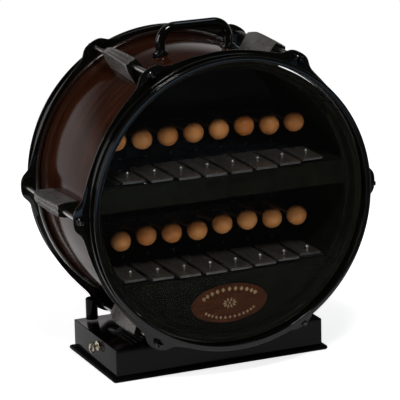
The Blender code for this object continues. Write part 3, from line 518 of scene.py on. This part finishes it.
def inset_outline(outline, amount):
    """Outline moved inwards by an amount; the outline runs anticlockwise."""
    result = []
    count = len(outline)
    for index, (a, b) in enumerate(outline):
        a0, b0 = outline[index - 1]
        a1, b1 = outline[(index + 1) % count]
        run = Vector((a1 - a0, b1 - b0))
        if run.length < 1e-9:
            result.append((a, b))
            continue
        run.normalize()
        result.append((a - run.y * amount, b + run.x * amount))
    return result


def flat(bm, outline, low, high, bevel, place, steps=2):
    """Plate with rounded edges on both faces, set by a function of (a, b, height)."""
    rings = []
    for step in range(steps + 1):
        angle = math.pi / 2 * step / steps
        shape = inset_outline(outline, bevel * (1 - math.sin(angle)))
        rings.append([place(a, b, low + bevel * (1 - math.cos(angle))) for a, b in shape])
    for step in range(steps + 1):
        angle = math.pi / 2 * (1 - step / steps)
        shape = inset_outline(outline, bevel * (1 - math.sin(angle)))
        rings.append([place(a, b, high - bevel * (1 - math.cos(angle))) for a, b in shape])
    grid(bm, rings, caps=(True, True))


def slab(bm, outline, front, back, bevel, steps=2):
    """Plate from an (x, z) outline between two depths, with rounded face edges."""
    flat(bm, outline, front, back, bevel, lambda a, b, h: (a, h, b), steps)


def drum_point(degrees, radius, tangent, y):
    """Point at a radius and a tangential offset from the ray at this angle, clockwise from the top."""
    angle = math.radians(degrees)
    x = radius * math.sin(angle) + tangent * math.cos(angle)
    z = radius * math.cos(angle) - tangent * math.sin(angle)
    return Vector((x, y, AXIS_Z + z))


def strip_outline(low, high, radius, steps=24):
    """Outline of what lies between two heights inside a circle about the drum's axis."""
    low = max(low - AXIS_Z, -radius * 0.99999)
    high = min(high - AXIS_Z, radius * 0.99999)
    start = math.asin(low / radius)
    stop = math.asin(high / radius)
    right = [start + (stop - start) * step / steps for step in range(steps + 1)]
    points = [(radius * math.cos(a), AXIS_Z + radius * math.sin(a)) for a in right]
    return points + [(-x, z) for x, z in reversed(points)]

# The drum

def shell():
    """Outer veneer with rounded edges, the painted inside, and the lining ring."""
    axis = along_y(0, AXIS_Z)
    seam_r, edge_r = SHELL_INNER + 3 * MM, SHELL_R - 0.8 * MM
    outer = rounded((
        (seam_r, -SHELL_HALF + 3 * MM), (edge_r, -SHELL_HALF), (SHELL_R, -SHELL_HALF),
        (SHELL_R, SHELL_HALF), (edge_r, SHELL_HALF), (seam_r, SHELL_HALF - 3 * MM),
    ), 0.5 * MM, 2)
    made = turned("shell_veneer", outer, 180, axis, "shell_wood", closed=True, nodes=("drum_shell",))
    outside = SHELL_R - 0.4 * MM
    paint(made, "shell_inside", lambda face: math.hypot(face.center.x, face.center.z - AXIS_Z) < outside)
    lining_r = SHELL_INNER + 2.8 * MM
    lining = (
        (SHELL_INNER, -SHELL_HALF + 5.2 * MM), (lining_r, -SHELL_HALF + 2.6 * MM),
        (lining_r, SHELL_HALF - 2.6 * MM), (SHELL_INNER, SHELL_HALF - 5.2 * MM),
    )
    black = {"slot": "board_black", "look": "shell_inside", "nodes": ("drum_shell",)}
    turned("shell_lining", lining, 180, axis, closed=True, **black)
    ring = rounded((
        (RING_R, RING_FRONT), (SHELL_INNER + 1 * MM, RING_FRONT),
        (SHELL_INNER + 1 * MM, RING_BACK), (RING_R, RING_BACK),
    ), 0.8 * MM, 2)
    turned("lining_ring", ring, 180, axis, closed=True, **black)


def head(name, side, slot):
    """Film with its turned-down collar, and the metal flesh hoop that holds it."""
    axis = along_y(0, AXIS_Z)
    film = rounded((
        (0, 108.8), (179.0, 108.8), (179.2, 96.0), (178.4, 96.0), (178.3, 108.35), (0, 108.35),
    ), 0.9, 3, closed=False)
    turned(f"{name}_film", on_side(film, side), 180, axis, slot, nodes=(name,))
    hoop = rounded(((179.25, 95.6), (183.9, 95.6), (183.9, 101.1), (179.25, 101.1)), 0.8, 2)
    turned(f"{name}_flesh_hoop", on_side(hoop, side), 120, axis, "steel", closed=True, nodes=(name,))


# Distance along the hoop from the rod in millimetres, and the share of the ear's height there
EAR_SHAPE = (
    (0, 1.0), (3.0, 1.0), (5.6, 0.985), (9.0, 0.95), (12.4, 0.87), (14.7, 0.76), (17.0, 0.62), (19.0, 0.50),
    (21.0, 0.40), (23.0, 0.325), (25.0, 0.275), (29.0, 0.215), (36.0, 0.15), (51.0, 0.07), (75.0, 0.0),
)


def ear_share(tangent):
    """Share of the ear's height at a distance along the hoop from the rod."""
    for (a, low), (b, high) in zip(EAR_SHAPE, EAR_SHAPE[1:]):
        if tangent < b:
            return low + (high - low) * (tangent - a) / (b - a)
    return 0.0


def flange_reach(degrees):
    """Radius of the flange's edge in one direction: round, with an ear at each lug."""
    offset = min(abs((degrees - lug_degrees + 180) % 360 - 180) for lug_degrees in LUG_DEGREES)
    return FLANGE_R + EAR_TALL * ear_share(math.radians(offset) * ROD_CIRCLE / MM)


def counter_hoop(name, side):
    """Triple-flanged hoop with a rolled lip, a sharp shoulder, and an ear with a hole at each lug."""
    profile = (
        (184.5, 91.5), (184.5, 101.7), (179.7, 101.7), (179.7, 118.3), (186.5, 118.3),
        (186.5, 116.0), (182.0, 116.0), (182.0, 104.0), (186.8, 104.0), (186.8, 93.8),
    )
    flange = ((0.93, 93.8), (0.98, 93.6), (1.0, 93.1), (1.0, 92.2), (0.98, 91.7), (0.93, 91.5))
    steps = 360
    rings = []
    for radius, y in rounded(in_mm(profile), 1.0 * MM, 3, closed=False):
        rings.append([drum_point(step, radius, 0, side * y) for step in range(steps)])
    for share, y in flange:
        radii = [HOOP_R + (flange_reach(step) - HOOP_R) * share for step in range(steps)]
        rings.append([drum_point(step, radius, 0, side * y * MM) for step, radius in enumerate(radii)])
    bm = bmesh.new()
    grid(bm, rings, closed_run=True)
    made = piece(name, bm, "hoop_black", nodes=(name,), angle=40)
    holes = bmesh.new()
    for degrees in LUG_DEGREES:
        centre = drum_point(degrees, ROD_CIRCLE, 0, 0)
        hole = on_side(((0, 90), (3.5, 90), (3.5, 95), (0, 95)), side)
        turn(holes, hole, 24, along_y(centre.x, centre.z))
    cut(made, holes)
    made.data.shade_smooth()
    made.data.set_sharp_from_angle(angle=math.radians(40))


def lug_section(degrees, y, half, crest, tall, side_tall, groove):
    """Cross-section of a lug: upright sides, and three ribs with grooves between them over the crest."""
    points = [(LUG_FOOT_R, -half), (LUG_FOOT_R + side_tall * 0.5, -half)]
    steps = 36
    for step in range(steps + 1):
        share = step / steps
        width = half * math.sin(math.pi * (share - 0.5))
        slope = 1 - max(0.0, (abs(width) - crest) / (half - crest)) ** 1.6
        height = side_tall + (tall - side_tall) * slope
        dent = groove * (0.5 - 0.5 * math.cos(share * math.pi * 8)) ** 0.8
        points.append((LUG_FOOT_R + height - dent, width))
    points += [(LUG_FOOT_R + side_tall * 0.5, half), (LUG_FOOT_R, half)]
    return [drum_point(degrees, radius, tangent, y) for radius, tangent in points]


# Sections along a lug in millimetres: y, half width, half crest, height, side height, groove depth
LUG_STATIONS = (
    (-39.5, 8.9, 6.0, 24.6, 15.6, 0.0), (-39.3, 9.3, 6.4, 25.4, 16.3, 0.3),
    (-38.8, 9.6, 6.7, 25.9, 16.8, 0.9), (-38.0, 9.7, 6.8, 26.2, 17.0, 1.3),
    (-28.0, 9.3, 6.8, 27.0, 17.2, 1.4), (-16.7, 8.6, 6.7, 27.7, 17.5, 1.4),
    (-5.0, 8.1, 6.5, 28.3, 17.8, 1.4), (6.3, 7.5, 6.2, 28.7, 18.0, 1.4),
    (18.0, 7.0, 5.8, 28.9, 18.2, 1.4), (27.0, 6.5, 5.4, 28.8, 18.2, 1.3),
    (33.0, 6.2, 5.1, 28.2, 18.0, 1.1), (40.0, 5.9, 4.8, 26.8, 17.6, 0.8),
    (47.0, 5.6, 4.5, 25.0, 17.2, 0.4), (50.8, 5.4, 4.3, 24.0, 17.0, 0.1),
    (52.0, 5.1, 4.0, 23.2, 16.4, 0.0), (52.3, 4.7, 3.6, 22.4, 15.8, 0.0),
)
# Depth in front of which a lug's end face is painted black as painted shade
LUG_SHADED_FACE_Y = -39.0 * MM
ROD_ROOTS = {-1: 36.0, 1: 50.0}


def lug(number, degrees):
    """Cast lug, widest at its front end, whose end face is painted black as shade, and tallest near its
    back, with its two tension rods.
    """
    node = f"lug_{number}"
    bm = bmesh.new()
    grid(bm, [lug_section(degrees, *(size * MM for size in row)) for row in LUG_STATIONS], caps=(True, True))
    made = piece(f"{node}_casting", bm, "lug_grey", nodes=(node,), angle=38)
    # Painted shade: the front end face gets the black inside paint because it lies in shadow, not because
    # the lug is dark there.
    paint(made, "shell_inside", lambda face: face.center.y < LUG_SHADED_FACE_Y)
    centre = drum_point(degrees, ROD_CIRCLE, 0, 0)
    rods, heads = bmesh.new(), bmesh.new()
    for side, root in ROD_ROOTS.items():
        rod(rods, heads, centre, side, root)
    piece(f"{node}_rods", rods, "steel", nodes=(node,))
    piece(f"{node}_rod_heads", heads, "steel", look="rod_dark", nodes=(node,))


def rod(rods, heads, centre, side, root):
    """Tension rod from its root inside the lug, and its washer, collar and square head."""
    axis = along_y(centre.x, centre.z)
    turn(rods, on_side(((0, root), (3.0, root), (3.0, 94.6), (0, 94.6)), side), 24, axis)
    washer = rounded(((3.05, 94.1), (5.5, 94.1), (5.5, 95.3), (3.05, 95.3)), 0.35, 2)
    turn(heads, on_side(washer, side), 28, axis, closed=True)
    collar = rounded((
        (0, 95.32), (4.4, 95.32), (4.5, 96.2), (4.2, 97.4), (3.2, 98.0), (2.9, 98.3), (0, 98.3),
    ), 0.3, 2, closed=False)
    turn(heads, on_side(collar, side), 28, axis)
    half = 2.7 * MM
    low, high = sorted((side * 97.9 * MM, side * 106.0 * MM))
    block(heads, (centre.x - half, low, centre.z - half), (centre.x + half, high, centre.z + half), 0.5 * MM)


def sweep(bm, path, sides):
    """Round tube along (point, radius) stations, on one smooth frame."""
    rings = []
    normal = None
    for index, (point, radius) in enumerate(path):
        before = path[max(index - 1, 0)][0]
        after = path[min(index + 1, len(path) - 1)][0]
        run = (Vector(after) - Vector(before)).normalized()
        if normal is None:
            normal = run.orthogonal().normalized()
        normal = (normal - run * normal.dot(run)).normalized()
        cross = run.cross(normal)
        angles = [2 * math.pi * step / sides for step in range(sides)]
        rings.append([Vector(point) + radius * (math.cos(a) * normal + math.sin(a) * cross) for a in angles])
    grid(bm, rings, caps=(True, True))


def handle():
    """Bow handle on turned feet that sit on the shell."""
    half, bend, radius = 46 * MM, 20 * MM, 6 * MM
    bend_z = AXIS_Z + SHELL_R + 28.5 * MM - bend
    foot_z = 401.0 * MM
    path = [((-half, 0, foot_z - 3 * MM), radius), ((-half, 0, foot_z + 4 * MM), radius)]
    steps = 14
    for step in range(steps + 1):
        angle = math.pi / 2 * step / steps
        x = -half + bend - bend * math.cos(angle)
        path.append(((x, 0, bend_z + bend * math.sin(angle)), radius))
    path += [((-x, y, z), r) for (x, y, z), r in reversed(path)]
    bm = bmesh.new()
    sweep(bm, path, 32)
    piece("handle_bow", bm, "hoop_black", nodes=("handle",))
    bm = bmesh.new()
    for side in (-1, 1):
        foot(bm, side * half, foot_z)
    piece("handle_feet", bm, "hoop_black", nodes=("handle",))


def foot(bm, x, top):
    """Round foot whose underside follows the shell."""
    profile = ((9.9, None), (9.9, -1.6), (9.4, -0.6), (8.4, 0.0), (7.2, 0.3), (6.2, 1.2))
    steps = 40
    rings = [[(x, 0, AXIS_Z + math.sqrt(SEAT_R ** 2 - x * x))]]
    for radius, rise in profile:
        ring = []
        for step in range(steps):
            angle = 2 * math.pi * step / steps
            px, py = x + radius * MM * math.cos(angle), radius * MM * math.sin(angle)
            z = AXIS_Z + math.sqrt(SEAT_R ** 2 - px * px) if rise is None else top + rise * MM
            ring.append((px, py, z))
        rings.append(ring)
    rings.append([(x, 0, top + 1.2 * MM)])
    grid(bm, rings)


# The base

def base():
    """Lacquered box with eased edges, its saddle, the plinth and the pegs."""
    wall, eased = 5 * MM, 0.9 * MM
    outline = rounded(rectangle(BOX_X, BOX_FRONT, BOX_BACK), eased, 3)
    inside = rounded(rectangle(BOX_X - wall, BOX_FRONT + wall, BOX_BACK - wall), 0.3 * MM, 3)
    rings = [[(x, y, BOX_LOW) for x, y in outline]]
    for step in range(4):
        angle = math.pi / 2 * step / 3
        shape = inset_outline(outline, eased * (1 - math.cos(angle)))
        rings.append([(x, y, BOX_TOP - eased * (1 - math.sin(angle))) for x, y in shape])
    bm = bmesh.new()
    made = grid(bm, rings, caps=(False, True))
    inner = grid(bm, [[(x, y, BOX_TOP - wall) for x, y in inside], [(x, y, BOX_LOW) for x, y in inside]])
    bm.faces.new(inner[0])
    for step in range(len(outline)):
        after = (step + 1) % len(outline)
        bm.faces.new((made[0][step], made[0][after], inner[1][after], inner[1][step]))
    piece("base_case", bm, "base_lacquer", nodes=("base_box",))
    saddle()
    plinth()
    peg_x, peg_y = 121 * MM, 74.5 * MM
    peg = rounded(((0, 41.6), (7.8, 41.6), (7.8, 68.6), (6.4, 70.0), (0, 70.0)), 0.5, 3, closed=False)
    for name, side in (("peg_left", -1), ("peg_right", 1)):
        place = Matrix.Translation((side * peg_x, peg_y, 0))
        turned(f"{name}_post", in_mm(peg), 48, place, "base_lacquer", nodes=(name,))


def saddle():
    """Cradle between the box and the drum, hollowed to the shell's curve."""
    half, front, back, low = 26 * MM, -30 * MM, 58 * MM, BOX_TOP - 1 * MM
    steps = 16
    across = [-half + 2 * half * step / steps for step in range(steps + 1)]
    top = [(x, AXIS_Z - math.sqrt(SEAT_R ** 2 - x * x)) for x in across]
    bm = bmesh.new()
    slab(bm, [(half, low), *reversed(top), (-half, low)], front, back, 0.4 * MM)
    piece("base_saddle", bm, "base_lacquer", nodes=("base_box",))


def plinth():
    """Plinth plate with a full half-round edge and soft corners."""
    lip, radius, steps = 6 * MM, 3.15 * MM, 12
    rings = []
    for step in range(steps + 1):
        angle = math.pi * step / steps
        out = lip - radius * (1 - math.sin(angle))
        corners = rounded(rectangle(BOX_X + out, BOX_FRONT - out, BOX_BACK + out), 2 * MM, 4)
        rings.append([(x, y, radius * (1 - math.cos(angle))) for x, y in corners])
    bm = bmesh.new()
    grid(bm, rings, caps=(True, True))
    piece("base_plinth_board", bm, "base_lacquer", look="plinth_black", nodes=("base_plinth",))


# Shelves, boards and plaque

def boards():
    """Both shelves with their front boards, and the screws in the upper board."""
    for row, low in (("upper", FASCIA_LOW), ("lower", 0.0)):
        top = SHELF_TOP[row]
        under = top - SHELF_THICK
        bm = bmesh.new()
        slab(bm, strip_outline(low, top, BOARD_R, 40), BOARD_FRONT, BOARD_BACK, 0.5 * MM)
        piece(f"{row}_front_board", bm, "board_black", nodes=(f"{row}_shelf",))
        bm = bmesh.new()
        slab(bm, strip_outline(under, top, SHELF_R), SHELF_FRONT, SHELF_BACK, 0.3 * MM)
        tongue = strip_outline(under, top, BOARD_R)
        slab(bm, tongue, BOARD_BACK - 0.3 * MM, SHELF_FRONT + 0.2 * MM, 0.05 * MM)
        piece(f"{row}_shelf_board", bm, "board_black", nodes=(f"{row}_shelf",))
    screw = rounded(in_mm((
        (0, -1.0), (2.6, -1.0), (2.6, 0.6), (1.6, 1.5), (0, 1.6),
    )), 0.4 * MM, 3, closed=False)
    bm = bmesh.new()
    for side in (-1, 1):
        turn(bm, screw, 24, Matrix.Translation((side * 3 * PITCH, -81.8 * MM, SHELF_TOP["upper"])))
    piece("upper_board_screws", bm, "steel")


# Arcs of the plaque's ornament: count, half spread in degrees, radii and half height and width of a lozenge
PLAQUE_ARCS = ((11, 59, 41, 18.3, 3.4, 2.7), (13, 58, 38.5, -18.3, 2.5, 2.0))
INLAY_PROUD = 0.12 * MM
INLAY_DEEP = 0.1 * MM


def plaque():
    """Oval wooden plaque with a rounded edge and a plain inlaid ornament."""
    cx, cz = 1.2 * MM, 90.8 * MM
    bm = bmesh.new()
    slab(bm, ellipse(cx, cz, 51.7 * MM, 24.8 * MM, 120), PLAQUE_FRONT, PLAQUE_BACK, 0.9 * MM, 4)
    piece("plaque_board", bm, "plaque_wood", nodes=("plaque",))
    bm = bmesh.new()
    for count, spread, rx, rz, tall, wide in PLAQUE_ARCS:
        for step in range(count):
            angle = math.radians(90 - spread + 2 * spread * step / (count - 1))
            x, z = cx + rx * MM * math.cos(angle), cz + rz * MM * math.sin(angle)
            lean = math.atan2(rz * math.cos(angle), -rx * math.sin(angle))
            lozenge(bm, x, z, wide * MM, tall * MM, lean)
    petals, rx, rz = 10, 7.2 * MM, 4.4 * MM
    for step in range(petals):
        angle = 2 * math.pi * step / petals
        x, z = cx + rx * math.cos(angle), cz + rz * math.sin(angle)
        lozenge(bm, x, z, 1.4 * MM, 3.2 * MM, angle + math.pi / 2)
    inlay(bm, ellipse(cx, cz, 1.3 * MM, 1.3 * MM, 20))
    piece("plaque_inlay", bm, "plaque_wood", look="inlay")


def inlay(bm, outline):
    """Thin inlay that stands just proud of the plaque's face."""
    slab(bm, outline, PLAQUE_FRONT - INLAY_PROUD, PLAQUE_FRONT + INLAY_DEEP, 0.05 * MM)


def lozenge(bm, x, z, wide, tall, lean):
    """Small pointed inlay; its long axis stands across the lean."""
    waist, shoulder = 0.35 * wide, 0.55 * tall
    corners = (
        (wide, 0), (waist, shoulder), (0, tall), (-waist, shoulder),
        (-wide, 0), (-waist, -shoulder), (0, -tall), (waist, -shoulder),
    )
    cos, sin = math.cos(lean), math.sin(lean)
    inlay(bm, [(x + a * cos - b * sin, z + a * sin + b * cos) for a, b in corners])


# Bars and their frames

def place_x(index):
    """Middle of a bar along X."""
    return (index - 3.5) * PITCH


def bar_line(row, index):
    """Front end, back end and pin of a bar along Y, in millimetres: both ends follow flat curves."""
    o = index - 3.5
    if row == "upper":
        return -102.1 + 1.27 * o * o + 0.1 * o, -17.3 - 0.63 * o * o, -72.2 + 0.55 * o * o
    return -95.6 + 1.35 * o * o + 0.9 * o, -12.0, -74.5 + 0.7 * o * o


def bar(row, index):
    """Bar with eased edges, a painted highlight on its front end, the pin's hole and a plain mark near the
    back.
    """
    front, back, pin = (y * MM for y in bar_line(row, index))
    x, top = place_x(index), BAR_TOP[row]
    name = f"bar_{row}_{index + 1}"
    outline = rounded(rectangle(BAR_HALF, front, back, x), 1.4 * MM, 4)
    bm = bmesh.new()
    flat(bm, outline, top - BAR_THICK, top, 0.9 * MM, lambda a, b, h: (a, b, h), 4)
    made = piece(f"{name}_plate", bm, "bar_metal", nodes=(name,), angle=40)
    low, high = top - 6 * MM, top + 3 * MM
    hole_r = 1.6 * MM
    cutter = bmesh.new()
    turn(cutter, ((0, low), (hole_r, low), (hole_r, high), (0, high)), 20, Matrix.Translation((x, pin, 0)))
    cut(made, cutter)
    # Painted highlight: the front end's faces get the paler metal where the light catches them.
    paint(made, "bar_mark_and_highlight", lambda face: face.center.y < front + 1 * MM and face.normal.y < -0.25)
    made.data.set_sharp_from_angle(angle=math.radians(40))
    mark_y = back - 12.0 * MM
    low, high = top - 0.1 * MM, top + 0.05 * MM
    bm = bmesh.new()
    for left, right, half in ((-4.2, -3.4, 1.9), (-2.2, -1.2, 0.5)):
        block(bm, (x + left * MM, mark_y - half * MM, low), (x + right * MM, mark_y + half * MM, high))
    piece(f"{name}_mark", bm, "bar_metal", look="bar_mark_and_highlight")


def bar_frame(row):
    """Felted strips under the bars, pins with ball heads and capped guide posts."""
    low = SHELF_TOP[row] + FRAME_UP
    top = low + 2.4 * MM
    half = 139.75 * MM
    bm = bmesh.new()
    block(bm, (-half, -75.5 * MM, low), (half, -60.5 * MM, top), 0.5 * MM)
    block(bm, (-half, -34.0 * MM, low), (half, 7.0 * MM, top), 0.5 * MM)
    for side in (-1, 1):
        left, right = sorted((side * half, side * (half - 3 * MM)))
        block(bm, (left, -62 * MM, low), (right, -33 * MM, top), 0.4 * MM)
    piece(f"{row}_felt_strips", bm, "felt", nodes=(f"bar_frame_{row}",))
    pins, heads, posts, caps = bmesh.new(), bmesh.new(), bmesh.new(), bmesh.new()
    root = low + 1 * MM
    centre = BAR_TOP[row] + PIN_UP[row]
    pin_r, head_r, steps = 1.1 * MM, 2.2 * MM, 14
    ball = [(0.0, centre - head_r)]
    for step in range(1, steps):
        angle = math.pi * step / steps
        ball.append((head_r * math.sin(angle), centre - head_r * math.cos(angle)))
    ball.append((0.0, centre + head_r))
    for index in range(8):
        place = Matrix.Translation((place_x(index), bar_line(row, index)[2] * MM, 0))
        turn(pins, ((0, root), (pin_r, root), (pin_r, centre), (0, centre)), 20, place)
        turn(heads, ball, 24, place)
    tip = BAR_TOP[row] + 6.5 * MM
    post_r, post_top, cap_r, cap_low = 1.75 * MM, tip - 1.9 * MM, 1.9 * MM, tip - 2 * MM
    post = ((0, root), (post_r, root), (post_r, post_top), (0, post_top))
    cap = rounded(((0, cap_low), (cap_r, cap_low), (cap_r, tip), (0, tip)), 0.6 * MM, 3, closed=False)
    for index in range(1, 8):
        place = Matrix.Translation((place_x(index) - PITCH / 2, 2.0 * MM, 0))
        turn(posts, post, 20, place)
        turn(caps, cap, 20, place)
    piece(f"{row}_bar_pins", pins, "steel", look="pin_bright")
    piece(f"{row}_pin_heads", heads, "nickel", look="pin_bright")
    piece(f"{row}_guide_posts", posts, "felt", look="post_dark")
    piece(f"{row}_guide_caps", caps, "felt", look="post_cap")


# Mallets, axles and magnets

def mallet(row, index):
    """Wooden ball on its stick, with the hub, the armature and the tail."""
    name = f"mallet_{row}_{index + 1}"
    reach = REACH[row]
    rest = Matrix.Translation((place_x(index), AXLE_Y, PIVOT[row]))
    rest = rest @ Matrix.Rotation(-math.radians(LIFT[row][index]), 4, "X")
    along = rest @ Matrix.Rotation(math.pi / 2, 4, "X")
    neck = math.asin(2.2 * MM / BALL_R)
    steps = 24
    ball = [(0, reach - 11 * MM), (1.9 * MM, reach - 11 * MM), (2.0 * MM, reach - 12.9 * MM)]
    for step in range(steps):
        angle = neck + (math.pi - neck) * step / steps
        ball.append((BALL_R * math.sin(angle), reach - BALL_R * math.cos(angle)))
    ball.append((0.0, reach + BALL_R))
    turned(f"{name}_ball", ball, 48, along, "ball_wood", body=name, nodes=(name,), angle=60)
    end = reach / MM - 11.5
    front = rounded(((0, 3.2), (2.2, 3.2), (2.2, 30), (2.1, 60), (2.0, end), (0, end)), 0.3, 2, closed=False)
    tail = rounded(((0, -20), (2.2, -20), (2.2, -3.2), (0, -3.2)), 1.0, 3, closed=False)
    bm = bmesh.new()
    turn(bm, in_mm(front), 20, along)
    turn(bm, in_mm(tail), 20, along)
    piece(f"{name}_stick", bm, "ball_wood", look="stick_wood", body=name)
    hub = rounded(((2.15, -4.5), (4.5, -4.5), (4.5, 4.5), (2.15, 4.5)), 0.6, 3)
    turned(f"{name}_hub", in_mm(hub), 28, rest @ along_x(0, 0), "hoop_black", closed=True,
           look="post_dark", body=name)
    plug = rounded(((0, -5.5), (5.0, -5.5), (5.0, -1.0), (2.0, 0.0), (0, 0)), 0.5, 3, closed=False)
    plug_place = rest @ Matrix.Translation((0, -26 * MM, 0))
    turned(f"{name}_armature", in_mm(plug), 28, plug_place, "steel", look="dark_steel", body=name)


def magnets(row):
    """Axle, end brackets, strip, rest rail, and coils on bobbins."""
    low = SHELF_TOP[row] + FRAME_UP
    axle(row)
    bank_frame(row, low)
    rest_rail(row, low)
    coils(row, low)


def axle(row):
    """Axle with a collar inside each end bracket."""
    line = along_x(AXLE_Y, PIVOT[row])
    shaft = rounded(((0, -135.5), (2.0, -135.5), (2.0, 135.5), (0, 135.5)), 0.4, 2, closed=False)
    bm = bmesh.new()
    turn(bm, in_mm(shaft), 28, line)
    for side in (-1, 1):
        collar = on_side(((2.0, 129.0), (3.4, 129.0), (3.4, 130.4), (2.0, 130.4)), side)
        turn(bm, collar, 24, line, closed=True)
    piece(f"{row}_axle_rod", bm, "steel", look="dark_steel", nodes=(f"axle_{row}",))


def bank_frame(row, low):
    """Strip under the magnets, and the two round-topped brackets that carry the axle."""
    pivot, round_r, bore_r, steps = PIVOT[row], 7 * MM, 2.12 * MM, 12
    outline = [(AXLE_Y - round_r, low + 1.5 * MM), (AXLE_Y + round_r, low + 1.5 * MM)]
    for step in range(steps + 1):
        angle = math.pi * step / steps
        outline.append((AXLE_Y + round_r * math.cos(angle), pivot - 1 * MM + round_r * math.sin(angle)))
    bm = bmesh.new()
    block(bm, (-135 * MM, 33 * MM, low), (135 * MM, 92 * MM, low + 3 * MM), 0.5 * MM)
    for side in (-1, 1):
        left, right = sorted((side * 131.2 * MM, side * 134.7 * MM))
        flat(bm, outline, left, right, 0.4 * MM, lambda a, b, h: (h, a, b))
    made = piece(f"{row}_magnet_frame", bm, "coil_copper", look="dark_steel", nodes=(f"magnet_bank_{row}",))
    cutter = bmesh.new()
    turn(cutter, ((0, -0.2), (bore_r, -0.2), (bore_r, 0.2), (0, 0.2)), 28, along_x(AXLE_Y, pivot))
    cut(made, cutter)


def rest_rail(row, low):
    """Rail that the mallets' tails rest on, with a felt strip on top."""
    half, front, back = 128 * MM, 83 * MM, 87 * MM
    top = RAIL_TOP[row]
    seam = top - 2 * MM
    bm = bmesh.new()
    block(bm, (-half, front, low + 2.5 * MM), (half, back, seam), 0.4 * MM)
    piece(f"{row}_rest_rail", bm, "coil_copper", look="dark_steel", nodes=(f"magnet_bank_{row}",))
    bm = bmesh.new()
    block(bm, (-half, front, seam), (half, back, top), 0.8 * MM, 3)
    piece(f"{row}_rail_felt", bm, "felt")


def coils(row, low):
    """Eight windings on their bobbins, each with its iron core."""
    top = COIL_TOP[row]
    start, stop = low + 4.4 * MM, top - 1.6 * MM
    inner_r, valley_r, wire_r, disc_r, core_r = 3.0 * MM, 8.0 * MM, 8.4 * MM, 9.0 * MM, 3.2 * MM
    turns = int((stop - start) / (1.0 * MM))
    rise = (stop - start) / turns
    winding = [(inner_r, start)]
    for step in range(turns):
        z = start + rise * step
        winding += [(valley_r, z), (wire_r, z + rise * 0.3), (wire_r, z + rise * 0.7)]
    winding += [(valley_r, stop), (inner_r, stop)]
    solids = []
    for under, over in ((low + 3.0 * MM, start), (stop, top - 0.4 * MM)):
        disc = ((0, under), (disc_r, under), (disc_r, over), (0, over))
        solids.append((rounded(disc, 0.35 * MM, 2, closed=False), 32))
    core = ((0, top - 1.0 * MM), (core_r, top - 1.0 * MM), (core_r, top), (0, top))
    solids.append((rounded(core, 0.25 * MM, 2, closed=False), 24))
    windings, bobbins = bmesh.new(), bmesh.new()
    for index in range(8):
        place = Matrix.Translation((place_x(index), 44 * MM, 0))
        turn(windings, winding, 32, place, closed=True)
        for profile, steps in solids:
            turn(bobbins, profile, steps, place)
    piece(f"{row}_coil_windings", windings, "coil_copper", nodes=(f"magnet_bank_{row}",))
    piece(f"{row}_coil_bobbins", bobbins, "board_black", look="post_dark")


# Key, lock and controller

def key_and_lock():
    """Lock barrel with its rim, and the key with a pierced oval bow."""
    line = along_x(KEY_Y, KEY_Z, -BOX_X)
    barrel = rounded((
        (1.95, -1.8), (6.5, -1.8), (6.5, -0.3), (5.0, -0.3), (5.0, 14.0), (1.95, 14.0),
    ), 0.45, 3)
    turned("lock_barrel", in_mm(barrel), 40, line, "nickel", closed=True, nodes=("key_lock",))
    shaft = rounded(((0, -8.2), (1.8, -8.2), (1.8, 7.9), (0, 7.9)), 0.4, 2, closed=False)
    turned("key_shaft", in_mm(shaft), 28, line, "nickel", body="key")
    bow = ellipse(-BOX_X - 8.2 * MM, KEY_Z - 1.2 * MM, 4.6 * MM, 7.4 * MM, 48)
    hole = ellipse(-BOX_X - 9.4 * MM, KEY_Z - 4.6 * MM, 1.7 * MM, 2.4 * MM, 28)
    bm = bmesh.new()
    slab(bm, bow, KEY_Y - 1 * MM, KEY_Y + 1 * MM, 0.5 * MM, 3)
    made = piece("key_bow", bm, "nickel", body="key", nodes=("key",))
    cutter = bmesh.new()
    slab(cutter, hole, KEY_Y - 3 * MM, KEY_Y + 3 * MM, 0.01 * MM)
    cut(made, cutter)


def controller():
    """Circuit board on posts with its chips and their legs."""
    node = "controller_board"
    half_x, half_y, chip_half = 60 * MM, 35 * MM, 8.75
    under, top = BOX_LOW + 6 * MM, BOX_LOW + 7.6 * MM
    bm = bmesh.new()
    block(bm, (-half_x, -half_y, under), (half_x, half_y, top), 0.2 * MM)
    piece("controller_sheet", bm, "circuit", nodes=(node,))
    bm = bmesh.new()
    post_r = 3 * MM
    for x in (-54, 54):
        for y in (-29, 29):
            post = ((0, BOX_LOW), (post_r, BOX_LOW), (post_r, under), (0, under))
            turn(bm, post, 6, Matrix.Translation((x * MM, y * MM, 0)))
    piece("controller_posts", bm, "steel", nodes=(node,))
    bm = bmesh.new()
    for x in (-30, 0, 30):
        low, high = (x - chip_half) * MM, (x + chip_half) * MM
        block(bm, (low, -chip_half * MM, top), (high, chip_half * MM, top + 4 * MM), 0.4 * MM)
        for step in range(6):
            leg_x = x - 7.5 + 3 * step
            for side in (-1, 1):
                y0, y1 = sorted((side * 8.7, side * 10.4))
                low, high = (leg_x - 0.5) * MM, (leg_x + 0.5) * MM
                block(bm, (low, y0 * MM, top - 0.1 * MM), (high, y1 * MM, top + 0.8 * MM))
    piece("controller_chips", bm, "board_black", look="post_dark", nodes=(node,))


def build():
    """Every detailed piece of the instrument."""
    shell()
    head("front_head", -1, "clear_film")
    head("rear_head", 1, "dark_film")
    counter_hoop("front_hoop", -1)
    counter_hoop("rear_hoop", 1)
    for number, degrees in enumerate(LUG_DEGREES, start=1):
        lug(number, degrees)
    handle()
    base()
    boards()
    plaque()
    for row in ("upper", "lower"):
        bar_frame(row)
        magnets(row)
        for index in range(8):
            bar(row, index)
            mallet(row, index)
    key_and_lock()
    controller()


camera()
studio()
make_materials()
build()
